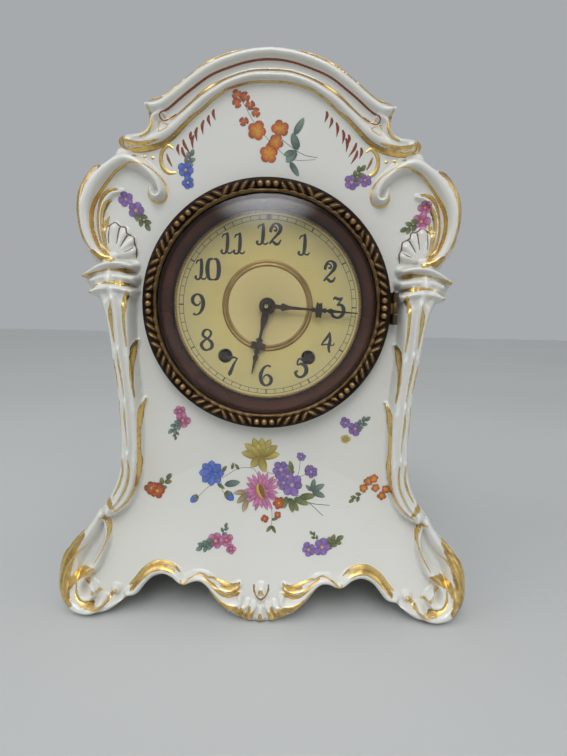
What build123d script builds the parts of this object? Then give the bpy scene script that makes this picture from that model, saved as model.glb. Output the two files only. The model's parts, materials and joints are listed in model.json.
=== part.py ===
from build123d import *
import math
import os

# Porcelain mantel clock with an eight-day time and strike movement.
# Millimetres. X runs to the right of the dial, Y to the back, Z up.
# The origin lies on the table top, midway between the feet.

os.makedirs("parts", exist_ok=True)

# Case
BEZEL_RADIUS = 65.5       # outside of the cast bezel
BASE_RISE = 105.5         # table top to the lowest point of the bezel
CROWN_RISE = 64.5         # highest point of the bezel to the top of the crown
SIDE_REACH = 49.0         # edge of the bezel to the widest point of a foot
FACE_DEPTH = 46.0         # middle of the case to the flat front panel
BACK_DEPTH = 54.0         # middle of the case to the outside of the back wall
APRON_BULGE = 19.5        # how far the foot of the apron stands in front of the panel
APRON_BOW = 7.0           # how far the apron's ends stand behind its middle
APRON_TOP = 92.0          # height at which the panel starts to swell forward
WALL = 7.0                # thickness of the porcelain
RELIEF = 6.0              # height of the moulded crown and ear rims
PILLAR_BULGE = 9.0        # how far the corner pillars stand in front of the panel
BACK_TAPER = 0.945        # size of the back wall compared with the front
SIDE_ARCH_HEIGHT = 15.0   # clear height under the side walls
SIDE_ARCH_HALF = 33.0     # half the length of the opening under a side wall

# Round furniture of the front
OPENING_MARGIN = 1.0      # how far the panel's hole stands outside the bezel's inner edge
BEZEL_WIDTH = 7.5         # inner to outer edge of the bezel
BEZEL_THICK = 9.7
BEZEL_LIFT = 1.3          # gap between the panel and the back of the bezel
GLASS_THICK = 2.0
GLASS_RISE = 6.5          # height of the glass dome
GLASS_SEAT = 1.4          # how far the glass reaches behind the bezel's lip
GLASS_PLAY = 0.3          # clearance round the edge of the glass
PAN_MARGIN = 3.5          # bezel's outer edge to the edge of the pan's flange
PAN_BAND = 6.8            # width of the pan that shows between dial and bezel
PAN_SHEET = 1.0
PAN_DEPTH = 8.8           # panel surface to the pan's floor
DIAL_THICK = 1.4
CENTER_RING_OUTER = 25.2
CENTER_RING_INNER = 21.7
CENTER_RING_THICK = 0.8
WINDING_X = 23.3          # winding squares, measured from the centre of the dial
WINDING_Z = -28.3
WINDING_HOLE = 4.1
REGULATOR_Z = 48.2        # rate adjustment arbor above the centre
REGULATOR_HOLE = 1.7
CENTER_HOLE = 4.4

# Hinges
HINGE_PIN = 0.7
HINGE_KNUCKLE = 1.6
PIN_SEAT = 0.01           # clearance of a pin that stays put
RUNNING_FIT = 0.05        # clearance of a shaft or pin that turns
HINGE_GAP = 0.4           # gap between knuckles
KNUCKLE_HALF = 2.8        # half the length of the middle barrel
KNUCKLE_REACH = 8.4       # middle of the hinge to its end
BEZEL_HINGE_OUT = 2.2     # bezel's edge to its hinge line
DOOR_HINGE_OUT = 2.4      # door's edge to its hinge line
DOOR_HINGE_LIFT = 0.4     # clearance of the door's barrels over the ring

# Back furniture
BACK_OPENING = 50.0       # radius of the hole in the back wall
BACK_RING_OUTER = 60.0
BACK_RING_INNER = 48.0
BACK_RING_THICK = 1.6
DOOR_RADIUS = 52.0
DOOR_THICK = 1.2
DOOR_LIFT = 0.3
KNOB_RADIUS = 3.6
KNOB_LENGTH = 8.2
KNOB_INSET = 9.0          # edge of the door to the middle of its knob
SLOT_COUNT = 8            # sound slots of the door
SLOT_LENGTH = 16.0
SLOT_WIDTH = 3.0
SLOT_CIRCLE = 28.0

# Straps that tie the pan to the back ring
STRAP_CIRCLE = 56.6
STRAP_ANGLE = 20.0
STRAP_WIDTH = 8.0
STRAP_THICK = 1.2
STRAP_SCREW = 1.5
STRAP_TAB = 7.6
SCREW_HEAD = 2.4

# Hands
MINUTE_MARGIN = 1.4       # tip of the minute hand to the edge of the dial
MINUTE_ANGLE = 93.5       # clockwise from twelve, as the hands stand
HOUR_LENGTH = 38.6
HOUR_ANGLE = 192.1
HAND_THICK = 0.6
HAND_GAP = 1.2            # dial ring to hour hand, and hour hand to minute hand
HAND_BOSS = 4.6
CANNON_RADIUS = 2.0
HOUR_PIPE = 2.9
CENTER_SQUARE = 2.6       # square of the minute hand
CENTER_ARBOR_FRONT = 0.9  # radius of the centre arbor inside the cannon

# Movement frame
PLATE_RADIUS = 52.0
PLATE_THICK = 1.6
POST_LENGTH = 10.6        # pan floor to front plate
POST_MARGIN = 3.2         # edge of the dial to the circle of the movement posts
POST_RADIUS = 2.6
PILLAR_CIRCLE = 46.6
PLATE_PILLAR = 3.0
PLATE_PILLAR_ANGLES = (62, 118, -8, 188, 270)
POST_ANGLES = (34, 146, 200, 340)
NUT_RADIUS = 3.4
NUT_THICK = 2.4
NUT_THREAD = 1.6          # radius of the pillars' tails
POST_STUD = 1.1           # radius of the minute wheel's stud
CLICK_STUD = 1.2
COUNT_STUD = 1.4
REGULATOR_ARBOR = 1.2
REGULATOR_SQUARE = 1.5
PIVOT = 0.7               # radius of the fine pivots
ARBOR = 1.4               # radius of the train arbors
END_SHAKE = 0.15          # play of an arbor between the plates

# Depths behind the front plate
GREAT_WHEEL_FRONT = 1.2
GREAT_WHEEL_THICK = 2.2
DRUM_LENGTH = 17.5
REAR_SPACE = 10.5         # room for wheels between the drums and the back plate
CENTER_WHEEL_FRONT = 7.2
THIRD_WHEEL_FRONT = 13.6
WARNING_WHEEL_FRONT = 19.2
WHEEL_THICK = 1.3
PINION_LENGTH = 3.6
DRUM_RADIUS = 17.6
DRUM_WALL = 1.2
SPRING_THICK = 1.5
SPRING_PITCH = 2.6
SPRING_TURNS = 3
BARREL_ARBOR = 3.2
WINDING_SQUARE = 3.6      # side of the square the key turns
RATCHET_RADIUS = 8.4
RATCHET_TEETH = 20
RATCHET_THICK = 1.8
CLICK_REACH = 12.6        # ratchet centre to click screw
CLICK_GAP = 0.3

# Wheel trains: teeth and centre distances
GREAT_TEETH = 70
SECOND_PINION = 14
SECOND_TEETH = 70
CENTER_PINION = 10
CENTER_TEETH = 84
THIRD_PINION = 7
THIRD_TEETH = 84
ESCAPE_PINION = 7
ESCAPE_TEETH = 38
ESCAPE_RADIUS = 11.0
PIN_TEETH = 64
WARNING_PINION = 8
WARNING_TEETH = 56
FLY_PINION = 7
COUNT_TEETH = 90
COUNT_PINION = 8
CANNON_TEETH = 14
MINUTE_TEETH = 42
MINUTE_PINION = 12
HOUR_TEETH = 48
MOTION_DISTANCE = 14.0
SECOND_DISTANCE = 22.0
SECOND_ANGLE = -12.0
THIRD_DISTANCE = 19.1
THIRD_ANGLE = 60.0
ESCAPE_DISTANCE = 16.45
PALLET_DISTANCE = 13.9
WARNING_DISTANCE = 18.0
WARNING_ANGLE = 72.0
FLY_DISTANCE = 12.6
FLY_ANGLE = 71.5
COUNT_DISTANCE = 17.15
COUNT_ANGLE = 110.0
HAMMER_DISTANCE = 20.2
HAMMER_ANGLE = 170.0
GEAR_CLEARANCE = 0.12     # added to each centre distance when the wheels are cut
ADDENDUM = 0.85           # tooth height outside the pitch circle, in modules
DEDENDUM = 1.3
TOOTH_ROOT_SHARE = 0.52   # share of the pitch that a tooth fills at its root
TOOTH_TIP_SHARE = 0.16

# Pendulum, hammer and gong
PENDULUM_LENGTH = 107.6
PENDULUM_PLANE = 10.0     # behind the back plate
BOB_RADIUS = 14.0
BOB_THICK = 8.0
ROD_RADIUS = 0.8
SUSPENSION_RISE = 3.4     # pallet arbor to the suspension's upper chop
HOOK_DROP = 8.0           # pallet arbor to the suspension's lower chop
STUD_GAP = 1.6            # middle of the cock's stud to each of its cheeks
PALLET_CLEARANCE = 0.9    # escape wheel tips to the pallets
COCK_HALF = 13.0          # half the length of the cock
CRUTCH_LENGTH = 30.0
NUT_BELOW_BOB = 0.3
COCK_STAND = 5.0          # back plate to the bridge of the cock
COCK_THICK = 1.8
FLY_REACH = 6.6
HAMMER_PIN_CIRCLE = 12.5
HAMMER_PINS = 8
GONG_PLANE = 26.0         # behind the back plate
GONG_RADIUS = 26.0
GONG_DROP = -30.0
GONG_WIRE = 2.2
GONG_PITCH = 4.4
GONG_TURNS = 4
GONG_FOOT_DROP = 5.0      # middle of the gong to the top of its foot
HAMMER_GAP = 0.6
HAMMER_HEAD = 5.0         # half the length of the hammer's head

# Radii worked out from the bezel
BEZEL_BORE = BEZEL_RADIUS - BEZEL_WIDTH
FRONT_OPENING = BEZEL_BORE + OPENING_MARGIN
PAN_FLANGE = BEZEL_RADIUS - PAN_MARGIN
DIAL_RADIUS = BEZEL_BORE - PAN_BAND
MINUTE_LENGTH = DIAL_RADIUS - MINUTE_MARGIN
POST_CIRCLE = DIAL_RADIUS - POST_MARGIN
HOUR_BORE = CANNON_RADIUS + RUNNING_FIT

# Places worked out from the sizes above
DIAL_HEIGHT = BASE_RISE + BEZEL_RADIUS
FACE = -FACE_DEPTH
BACK = BACK_DEPTH
BEZEL_BACK = FACE - BEZEL_LIFT
BEZEL_FRONT = BEZEL_BACK - BEZEL_THICK
PAN_FLOOR = FACE + PAN_DEPTH
DIAL_BACK = PAN_FLOOR
DIAL_FRONT = DIAL_BACK - DIAL_THICK
RING_FRONT = DIAL_FRONT - CENTER_RING_THICK
HOUR_BACK = RING_FRONT - HAND_GAP
HOUR_FRONT = HOUR_BACK - HAND_THICK
MINUTE_BACK = HOUR_FRONT - HAND_GAP
MINUTE_FRONT = MINUTE_BACK - HAND_THICK
PAN_BACK = PAN_FLOOR + PAN_SHEET
FRONT_PLATE = PAN_BACK + POST_LENGTH
PLATE_BACK = FRONT_PLATE + PLATE_THICK
GREAT_FRONT = PLATE_BACK + GREAT_WHEEL_FRONT
DRUM_FRONT = GREAT_FRONT + GREAT_WHEEL_THICK
DRUM_BACK = DRUM_FRONT + DRUM_LENGTH
BACK_PLATE = DRUM_BACK + REAR_SPACE
REAR = BACK_PLATE + PLATE_THICK
CENTER_FRONT = PLATE_BACK + CENTER_WHEEL_FRONT
THIRD_FRONT = PLATE_BACK + THIRD_WHEEL_FRONT
WARNING_FRONT = PLATE_BACK + WARNING_WHEEL_FRONT
SECOND_FRONT = DRUM_BACK + 3.0
ESCAPE_FRONT = BACK_PLATE - 6.0
PENDULUM_Y = REAR + PENDULUM_PLANE
GONG_Y = REAR + GONG_PLANE
COCK_FRONT = REAR + COCK_STAND
BEZEL_HINGE_X = BEZEL_RADIUS + BEZEL_HINGE_OUT
BEZEL_HINGE_Y = (BEZEL_BACK + BEZEL_FRONT) / 2
DOOR_HINGE_X = DOOR_RADIUS + DOOR_HINGE_OUT
DOOR_HINGE_Y = BACK + BACK_RING_THICK + HINGE_KNUCKLE + DOOR_HINGE_LIFT


def polar(distance, angle, start=(0.0, 0.0)):
    """The point at a distance and angle from another point."""
    turn = math.radians(angle)
    return (start[0] + distance * math.cos(turn), start[1] + distance * math.sin(turn))


def span(a, b):
    """Distance between two points."""
    return math.hypot(b[0] - a[0], b[1] - a[1])


def heading(a, b):
    """Direction from one point to another, in degrees."""
    return math.degrees(math.atan2(b[1] - a[1], b[0] - a[0]))


# Arbor places in the plane of the dial, measured from its centre
CENTER_AT = (0.0, 0.0)
TIME_BARREL_AT = (WINDING_X, WINDING_Z)
STRIKE_BARREL_AT = (-WINDING_X, WINDING_Z)
SECOND_AT = polar(SECOND_DISTANCE, SECOND_ANGLE)
THIRD_AT = polar(THIRD_DISTANCE, THIRD_ANGLE)
ESCAPE_AT = polar(ESCAPE_DISTANCE, 180 - math.degrees(math.acos(THIRD_AT[0] / ESCAPE_DISTANCE)), THIRD_AT)
PALLET_AT = (0.0, ESCAPE_AT[1] + PALLET_DISTANCE)
PIN_WHEEL_AT = (-SECOND_AT[0], SECOND_AT[1])
WARNING_AT = polar(WARNING_DISTANCE, WARNING_ANGLE, PIN_WHEEL_AT)
FLY_AT = polar(FLY_DISTANCE, FLY_ANGLE, WARNING_AT)
COUNT_AT = polar(COUNT_DISTANCE, COUNT_ANGLE, PIN_WHEEL_AT)
HAMMER_AT = polar(HAMMER_DISTANCE, HAMMER_ANGLE, PIN_WHEEL_AT)
MOTION_AT = polar(MOTION_DISTANCE, 45.0)
REGULATOR_AT = (0.0, REGULATOR_Z)
GONG_AT = (0.0, GONG_DROP)
TRAIN_AT = [SECOND_AT, THIRD_AT, ESCAPE_AT, PIN_WHEEL_AT, WARNING_AT, FLY_AT]
PILLAR_AT = [polar(PILLAR_CIRCLE, angle) for angle in PLATE_PILLAR_ANGLES]
POST_AT = [polar(POST_CIRCLE, angle) for angle in POST_ANGLES]
TIME_CLICK_AT = polar(CLICK_REACH, -20, TIME_BARREL_AT)
STRIKE_CLICK_AT = polar(CLICK_REACH, 200, STRIKE_BARREL_AT)
STRAP_AT = polar(STRAP_CIRCLE, STRAP_ANGLE)
SUSPENSION_TOP = PALLET_AT[1] + SUSPENSION_RISE
HOOK_Z = PALLET_AT[1] - HOOK_DROP
BOB_Z = PALLET_AT[1] - PENDULUM_LENGTH


def slab(face, front, back):
    """A flat shape drawn in X and Z, made solid between two depths."""
    return extrude(Plane.XZ.offset(-back) * face, back - front)


def raised(face):
    """Lifts a shape drawn about the dial's centre to its place in the case."""
    return Pos(0, DIAL_HEIGHT) * face


def at_dial(face, front, back):
    """A shape drawn about the dial's centre, made solid between two depths."""
    return slab(raised(face), front, back)


def shaft(place, radius, front, back):
    """A round shaft along Y at a place measured from the dial's centre."""
    return at_dial(Pos(*place) * Circle(radius), front, back)


def washer(place, outer, inner, front, back):
    """A flat ring at a place measured from the dial's centre."""
    return at_dial(Pos(*place) * (Circle(outer) - Circle(inner)), front, back)


def save(solid, node):
    """Writes one node."""
    export_step(solid, "parts/" + node + ".step")


def turned(profile):
    """A profile of radius and depth points, turned about the dial's axis."""
    outline = make_face(Polyline(*profile, close=True))
    return Pos(0, 0, DIAL_HEIGHT) * revolve(outline, Axis.Y)


def gear_module(teeth_a, teeth_b, distance):
    """Pitch circle diameter per tooth of two wheels that mesh at a distance."""
    return 2 * (distance - GEAR_CLEARANCE) / (teeth_a + teeth_b)


def gear_face(teeth, module, tooth_at):
    """A toothed outline with the middle of one tooth at a given angle."""
    pitch_radius = teeth * module / 2
    tip = pitch_radius + ADDENDUM * module
    root = pitch_radius - DEDENDUM * module
    step = 360 / teeth
    points = []
    for tooth in range(teeth):
        middle = tooth_at + tooth * step
        points.append(polar(root, middle - step * TOOTH_ROOT_SHARE / 2))
        points.append(polar(tip, middle - step * TOOTH_TIP_SHARE / 2))
        points.append(polar(tip, middle + step * TOOTH_TIP_SHARE / 2))
        points.append(polar(root, middle + step * TOOTH_ROOT_SHARE / 2))
    return make_face(Polyline(*points, close=True))


def wheel_face(teeth, module, tooth_at, hub, spokes, bore):
    """A toothed wheel crossed out to a rim, straight spokes and a hub."""
    root = teeth * module / 2 - DEDENDUM * module
    rim = root - 1.6
    face = gear_face(teeth, module, tooth_at)
    window = Circle(rim) - Circle(hub)
    for spoke in range(spokes):
        window -= Rot(0, 0, 360 * spoke / spokes) * Pos(rim / 2, 0) * Rectangle(rim + 1, 2.0)
    return face - window - Circle(bore)


def facing_teeth(teeth_b, direction):
    """Angle of a tooth on the second wheel when the first has a tooth on the line."""
    return direction + 180 + 180 / teeth_b


def ratchet_face(radius, teeth, lean):
    """A saw-toothed outline. Lean is 1 or -1 and sets the steep side."""
    step = 360 / teeth
    points = []
    for tooth in range(teeth):
        points.append(polar(radius - 1.2, tooth * step))
        points.append(polar(radius, tooth * step + lean * step * 0.12))
    if lean < 0:
        points = []
        for tooth in range(teeth):
            points.append(polar(radius, tooth * step - step * 0.12))
            points.append(polar(radius - 1.2, tooth * step))
    return make_face(Polyline(*points, close=True))


def spiral_face(start, pitch, turns, thick):
    """A strip wound in half circles whose centres step from side to side."""
    outer = []
    inner = []
    half_turns = 2 * turns
    for half in range(half_turns):
        side = 1 if half % 2 == 0 else -1
        middle = 0.0 if half % 2 == 0 else pitch / 2
        radius = start + half * pitch / 2
        for edge_list, grown in ((inner, radius), (outer, radius + thick)):
            left = (middle - grown, 0)
            right = (middle + grown, 0)
            top = (middle, side * grown)
            first, last = (right, left) if side > 0 else (left, right)
            edge_list.append(ThreePointArc(first, top, last))
    start_cap = Line(inner[0] @ 0, outer[0] @ 0)
    end_cap = Line(inner[-1] @ 1, outer[-1] @ 1)
    return make_face(inner + outer + [start_cap, end_cap])


# The drawn outline of the case belongs to these sizes and is fitted to the real ones
DRAWN_BEZEL = 65.5
DRAWN_BASE = 105.5
DRAWN_CROWN = 64.5
DRAWN_SIDE = 49.0


def fit(point):
    """Moves a point of the drawn outline to suit the bezel, base, crown and side sizes."""
    x, z = point
    if x <= DRAWN_BEZEL:
        fitted_x = x * BEZEL_RADIUS / DRAWN_BEZEL
    else:
        fitted_x = BEZEL_RADIUS + (x - DRAWN_BEZEL) * SIDE_REACH / DRAWN_SIDE
    if z <= DRAWN_BASE:
        fitted_z = z * BASE_RISE / DRAWN_BASE
    elif z <= DRAWN_BASE + 2 * DRAWN_BEZEL:
        fitted_z = BASE_RISE + (z - DRAWN_BASE) * BEZEL_RADIUS / DRAWN_BEZEL
    else:
        above = z - DRAWN_BASE - 2 * DRAWN_BEZEL
        fitted_z = BASE_RISE + 2 * BEZEL_RADIUS + above * CROWN_RISE / DRAWN_CROWN
    return (fitted_x, fitted_z)


def curve(points):
    """A smooth line through drawn points, or a straight one through two."""
    fitted = [fit(point) for point in points]
    if len(fitted) == 2:
        return Line(*fitted)
    return Spline(*fitted)


def symmetric_face(strokes, size=1.0):
    """A face from the strokes of its right half and their mirror image."""
    edges = []
    for stroke in strokes:
        edge = curve(stroke).scale(size)
        edges.append(edge)
        edges.append(mirror(edge, about=Plane.YZ))
    return make_face(edges)


def both_sides(solid):
    """A solid and its mirror image on the other side of the clock."""
    return [solid, mirror(solid, about=Plane.YZ)]


# Right half of the front, from the top of the crown down to the middle of the apron
CROWN_EDGE = [(0, 301), (20, 297.4), (40, 287.5), (50, 279.1), (65, 273.5)]
NOTCH_EDGE = [(65, 273.5), (62, 264), (69, 258), (76.5, 255), (79, 251)]
EAR_EDGE = [(79, 251), (85, 243.5), (92.5, 241), (100.7, 226), (101.2, 218), (98.8, 204.5), (91.2, 189.5)]
CAPITAL_EDGE = [(91.2, 189.5), (98, 184.5), (95, 176.5), (89, 171.5), (85.5, 162), (82.8, 146)]
PILLAR_EDGE = [(82.8, 146), (79.5, 122), (78.8, 100), (79, 81), (84, 67), (90.5, 56)]
FOOT_EDGE = [(90.5, 56), (94.5, 50.5), (106, 37), (114.5, 20), (113, 8.5), (105, 1.5), (98, 0)]
FOOT_PAD = [(98, 0), (90, 0)]
FOOT_INNER = [(90, 0), (82, 3.5), (74, 10)]
ARCH_EDGE = [(74, 10), (67.5, 13.3), (60, 21.6), (51, 21.7), (43, 16.7)]
APRON_EDGE = [(43, 16.7), (35, 19.5), (27.2, 13.1), (15.7, 4), (8, 1.3), (0, 1)]
FRONT_STROKES = [CROWN_EDGE, NOTCH_EDGE, EAR_EDGE, CAPITAL_EDGE, PILLAR_EDGE, FOOT_EDGE,
                 FOOT_PAD, FOOT_INNER, ARCH_EDGE, APRON_EDGE]

# Right half of the body behind the front, which is plainer
BODY_TOP = [(0, 295), (25, 289), (48, 275), (66, 258), (86, 238), (94, 221), (90, 200), (80, 178)]
BODY_SIDE = [(80, 178), (76, 150), (74, 122), (74, 100), (76, 82), (84, 64), (99, 44), (110, 24), (106, 6)]
BODY_PAD = [(106, 6), (105, 0), (84, 0), (80, 8)]
BODY_SKIRT = [(80, 8), (66, 19), (48, 23), (24, 20), (0, 19)]
BODY_STROKES = [BODY_TOP, BODY_SIDE, [(106, 6), (104, 0)], [(104, 0), (86, 0)], [(86, 0), (80, 8)],
                BODY_SKIRT]

# Right half of the hollow inside
HOLLOW_STROKES = [
    [(0, 270), (28, 264), (48, 252), (60, 240), (72, 228), (80, 214), (78, 201), (71, 184)],
    [(71, 184), (68, 165), (65.5, 140), (65.2, 112), (66, 92), (70, 74), (84, 50), (94, 30), (90, 10)],
    [(90, 10), (88, -3)],
    [(88, -3), (0, -3)],
]


def behind_front(setback):
    """Everything behind the front surface, moved back by a distance.

    The surface is flat above, swells forward towards the foot of the apron and
    bows forward in the middle of the clock.
    """
    reach = 2 * (BEZEL_RADIUS + SIDE_REACH)
    height = BASE_RISE + 2 * BEZEL_RADIUS + CROWN_RISE
    front = FACE + setback
    swell = Spline((front, APRON_TOP), (front - 0.25 * APRON_BULGE, 0.62 * APRON_TOP),
                   (front - 0.62 * APRON_BULGE, 0.3 * APRON_TOP), (front - APRON_BULGE, 0),
                   tangents=[(0, -1), (-0.35, -1)])
    side = make_face([swell,
                      Line((front - APRON_BULGE, 0), (front - APRON_BULGE, -5)),
                      Line((front - APRON_BULGE, -5), (BACK + 5, -5)),
                      Line((BACK + 5, -5), (BACK + 5, height + 5)),
                      Line((BACK + 5, height + 5), (front, height + 5)),
                      Line((front, height + 5), (front, APRON_TOP))])
    wedge = extrude(Plane.YZ * side, reach, both=True)
    bow_reach = 0.9 * (BEZEL_RADIUS + SIDE_REACH)
    bow_radius = (bow_reach ** 2 + APRON_BOW ** 2) / (2 * APRON_BOW)
    middle = front - APRON_BULGE + bow_radius
    bow = Pos(0, middle, height / 2) * Cylinder(bow_radius, height + 20)
    return wedge & bow


def case_rims():
    """Raised mouldings of the crown and the ears."""
    crown = [CROWN_EDGE,
             [(65, 273.5), (60, 266), (50, 257)],
             [(50, 257), (40, 267), (25, 278.5), (10, 284.5), (0, 285)]]
    crown_rim = slab(symmetric_face(crown), FACE - RELIEF, FACE + 1)
    ear = [EAR_EDGE,
           [(91.2, 189.5), (92.5, 203), (94.5, 214), (90, 226), (82, 237), (74.5, 242.5)],
           [(74.5, 242.5), (77, 248), (79, 251)]]
    ear_edges = [curve(stroke) for stroke in ear]
    ear_rim = slab(make_face(ear_edges), FACE - RELIEF + 1, FACE + 1)
    return [crown_rim] + both_sides(ear_rim)


# Centre line and half width of a pillar at heights from the foot to the capital
PILLAR_SECTIONS = [(85.5, 58, 5.5), (77, 72, 7.2), (73.8, 88, 5.7), (73.6, 105, 5.6), (75.5, 124, 6.2),
                   (78.5, 146, 6.6), (80.5, 160, 7.0), (83.5, 174, 10.5), (85, 184, 11.0), (84, 190, 8.0)]


def pillar():
    """A corner pillar: ovals at several heights, joined smoothly."""
    sections = []
    for x, z, half in PILLAR_SECTIONS:
        middle_x, height = fit((x, z))
        edge_x = fit((x + half, z))[0]
        oval = Ellipse(edge_x - middle_x, PILLAR_BULGE)
        sections.append(Plane(origin=(middle_x, FACE + 0.8, height)) * oval)
    return loft(sections)


def porcelain_case():
    """The hollow porcelain case, open below, in front and behind."""
    front_block = slab(symmetric_face(FRONT_STROKES), FACE - APRON_BULGE - 2, FACE + 13)
    stations = ((FACE + 3, 0.995), (0.0, 0.985), (BACK - 8, BACK_TAPER), (BACK, BACK_TAPER - 0.03))
    sections = []
    for depth, size in stations:
        sections.append(Plane.XZ.offset(-depth) * symmetric_face(BODY_STROKES, size))
    body = loft(sections)
    outside = (front_block & behind_front(0)) + body
    for rim in case_rims() + both_sides(pillar()):
        outside += rim
    inside = slab(symmetric_face(HOLLOW_STROKES, 0.985), FACE - APRON_BULGE, BACK - WALL)
    inside = inside & behind_front(WALL)
    hollow = outside - inside
    hollow -= shaft(CENTER_AT, FRONT_OPENING, FACE - RELIEF, 0)
    hollow -= shaft(CENTER_AT, BACK_OPENING, BACK - WALL - 2, BACK + 1)
    arch_radius = (SIDE_ARCH_HALF ** 2 + SIDE_ARCH_HEIGHT ** 2) / (2 * SIDE_ARCH_HEIGHT)
    reach = 3 * (BEZEL_RADIUS + SIDE_REACH)
    arch = Pos(0, 0, SIDE_ARCH_HEIGHT - arch_radius) * Rot(0, 90, 0) * Cylinder(arch_radius, reach)
    hollow -= arch
    for side in (-1, 1):
        hollow -= shaft((side * STRAP_AT[0], STRAP_AT[1]), STRAP_SCREW + 0.3, BACK - WALL - 1, BACK + 1)
    return hollow


def case_straps():
    """Two brass straps from the pan back to the inside of the back wall."""
    straps = []
    pan_edge = math.sqrt((DIAL_RADIUS + 1.0) ** 2 - STRAP_AT[1] ** 2)
    for side in (-1, 1):
        x = side * (STRAP_AT[0] + 2.2)
        z = DIAL_HEIGHT + STRAP_AT[1]
        front = PAN_BACK
        back = BACK - WALL
        run = Pos(x, (front + back) / 2, z) * Box(STRAP_THICK, back - front, STRAP_WIDTH)
        tab_x = x - side * 3.2
        tab = Pos(tab_x, back - STRAP_THICK / 2, z) * Box(STRAP_TAB, STRAP_THICK, STRAP_WIDTH)
        toe_length = abs(x) - pan_edge
        toe_x = side * (pan_edge + toe_length / 2)
        toe = Pos(toe_x, front + STRAP_THICK / 2, z) * Box(toe_length, STRAP_THICK, STRAP_WIDTH)
        hole = shaft((side * STRAP_AT[0], STRAP_AT[1]), STRAP_SCREW, back - 3, back + 1)
        straps.append(run + tab + toe - hole)
    return Compound(children=straps)


def case_screws():
    """Two screws through the back ring and the back wall into the straps."""
    screws = []
    ring_back = BACK + BACK_RING_THICK
    for side in (-1, 1):
        place = (side * STRAP_AT[0], STRAP_AT[1])
        stem = shaft(place, STRAP_SCREW, BACK - WALL - 4, ring_back)
        head = shaft(place, SCREW_HEAD, ring_back, ring_back + 1.5)
        slot = Pos(place[0], ring_back + 1.5, DIAL_HEIGHT + place[1]) * Box(6.0, 1.2, 0.7)
        screws.append(stem + head - slot)
    return Compound(children=screws)


def knuckle(x, y, low, high, bore):
    """One upright hinge barrel between two heights from the dial's centre."""
    middle = DIAL_HEIGHT + (low + high) / 2
    barrel = Cylinder(HINGE_KNUCKLE, high - low) - Cylinder(bore, high - low + 2)
    return Pos(x, y, middle) * barrel


def hinge_block(x_low, x_high, y_low, y_high, low, high):
    """A rectangular web between two heights from the dial's centre."""
    middle = ((x_low + x_high) / 2, (y_low + y_high) / 2, DIAL_HEIGHT + (low + high) / 2)
    return Pos(*middle) * Box(x_high - x_low, y_high - y_low, high - low)


def outer_knuckles(x, y, web_x, web_y):
    """The two outer barrels of a hinge with the webs that carry them."""
    bore = Pos(x, y, DIAL_HEIGHT) * Cylinder(HINGE_PIN + PIN_SEAT, 40)
    pieces = None
    for low, high in ((KNUCKLE_HALF + HINGE_GAP, KNUCKLE_REACH), (-KNUCKLE_REACH, -KNUCKLE_HALF - HINGE_GAP)):
        piece = knuckle(x, y, low, high, HINGE_PIN + PIN_SEAT)
        piece += hinge_block(web_x[0], web_x[1], web_y[0], web_y[1], low, high) - bore
        pieces = piece if pieces is None else pieces + piece
    return pieces


def dial_pan():
    """Spun pan that holds the dial, with its flange and the bezel's hinge leaf."""
    flange_front = FACE - PAN_SHEET
    floor_radius = DIAL_RADIUS + 0.9
    wall_top = FRONT_OPENING - 0.5
    profile = [(PAN_FLANGE, flange_front), (PAN_FLANGE, FACE), (wall_top, FACE),
               (floor_radius + 0.6, PAN_BACK), (DIAL_RADIUS - 9, PAN_BACK), (DIAL_RADIUS - 9, PAN_FLOOR),
               (floor_radius, PAN_FLOOR), (wall_top - 1.2, flange_front)]
    pan = turned(profile) - shaft(REGULATOR_AT, REGULATOR_HOLE, FACE, PAN_BACK + 1)
    leaf_edge = BEZEL_HINGE_X + HINGE_KNUCKLE
    pan += hinge_block(PAN_FLANGE - 2, leaf_edge, flange_front, FACE, -KNUCKLE_REACH, KNUCKLE_REACH)
    web_x = (BEZEL_HINGE_X, leaf_edge)
    pan += outer_knuckles(BEZEL_HINGE_X, BEZEL_HINGE_Y, web_x, (BEZEL_HINGE_Y, flange_front))
    return pan


def hinge_pin(x, y):
    """A hinge pin with a small head above the top barrel."""
    length = 2 * KNUCKLE_REACH
    pin = Pos(x, y, DIAL_HEIGHT) * Cylinder(HINGE_PIN, length)
    head = Pos(x, y, DIAL_HEIGHT + KNUCKLE_REACH + 0.4) * Cylinder(HINGE_KNUCKLE * 0.8, 0.8)
    return pin + head


def bezel():
    """Cast bezel with a half-round ornament ring, an inner lip and its hinge barrel."""
    seat = BEZEL_BORE + GLASS_SEAT
    lip_back = BEZEL_FRONT + 3.2
    profile = [(BEZEL_BORE, BEZEL_FRONT + 1.6), (BEZEL_BORE + 0.8, BEZEL_FRONT + 0.8),
               (BEZEL_BORE + 1.8, BEZEL_FRONT + 1.2), (BEZEL_BORE + 2.6, BEZEL_FRONT + 0.3),
               (BEZEL_BORE + 4.0, BEZEL_FRONT), (BEZEL_RADIUS - 1.8, BEZEL_FRONT + 0.9),
               (BEZEL_RADIUS - 0.4, BEZEL_FRONT + 3.0), (BEZEL_RADIUS, BEZEL_FRONT + 5.4),
               (BEZEL_RADIUS - 0.6, BEZEL_BACK), (seat, BEZEL_BACK), (seat, lip_back),
               (BEZEL_BORE, lip_back)]
    ring = turned(profile)
    web = hinge_block(BEZEL_RADIUS - 0.8, BEZEL_HINGE_X, BEZEL_HINGE_Y - 1.2, BEZEL_HINGE_Y + 1.2,
                      -KNUCKLE_HALF, KNUCKLE_HALF)
    bore = HINGE_PIN + RUNNING_FIT
    web -= Pos(BEZEL_HINGE_X, BEZEL_HINGE_Y, DIAL_HEIGHT) * Cylinder(bore, 20)
    return ring + web + knuckle(BEZEL_HINGE_X, BEZEL_HINGE_Y, -KNUCKLE_HALF, KNUCKLE_HALF, bore)


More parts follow.
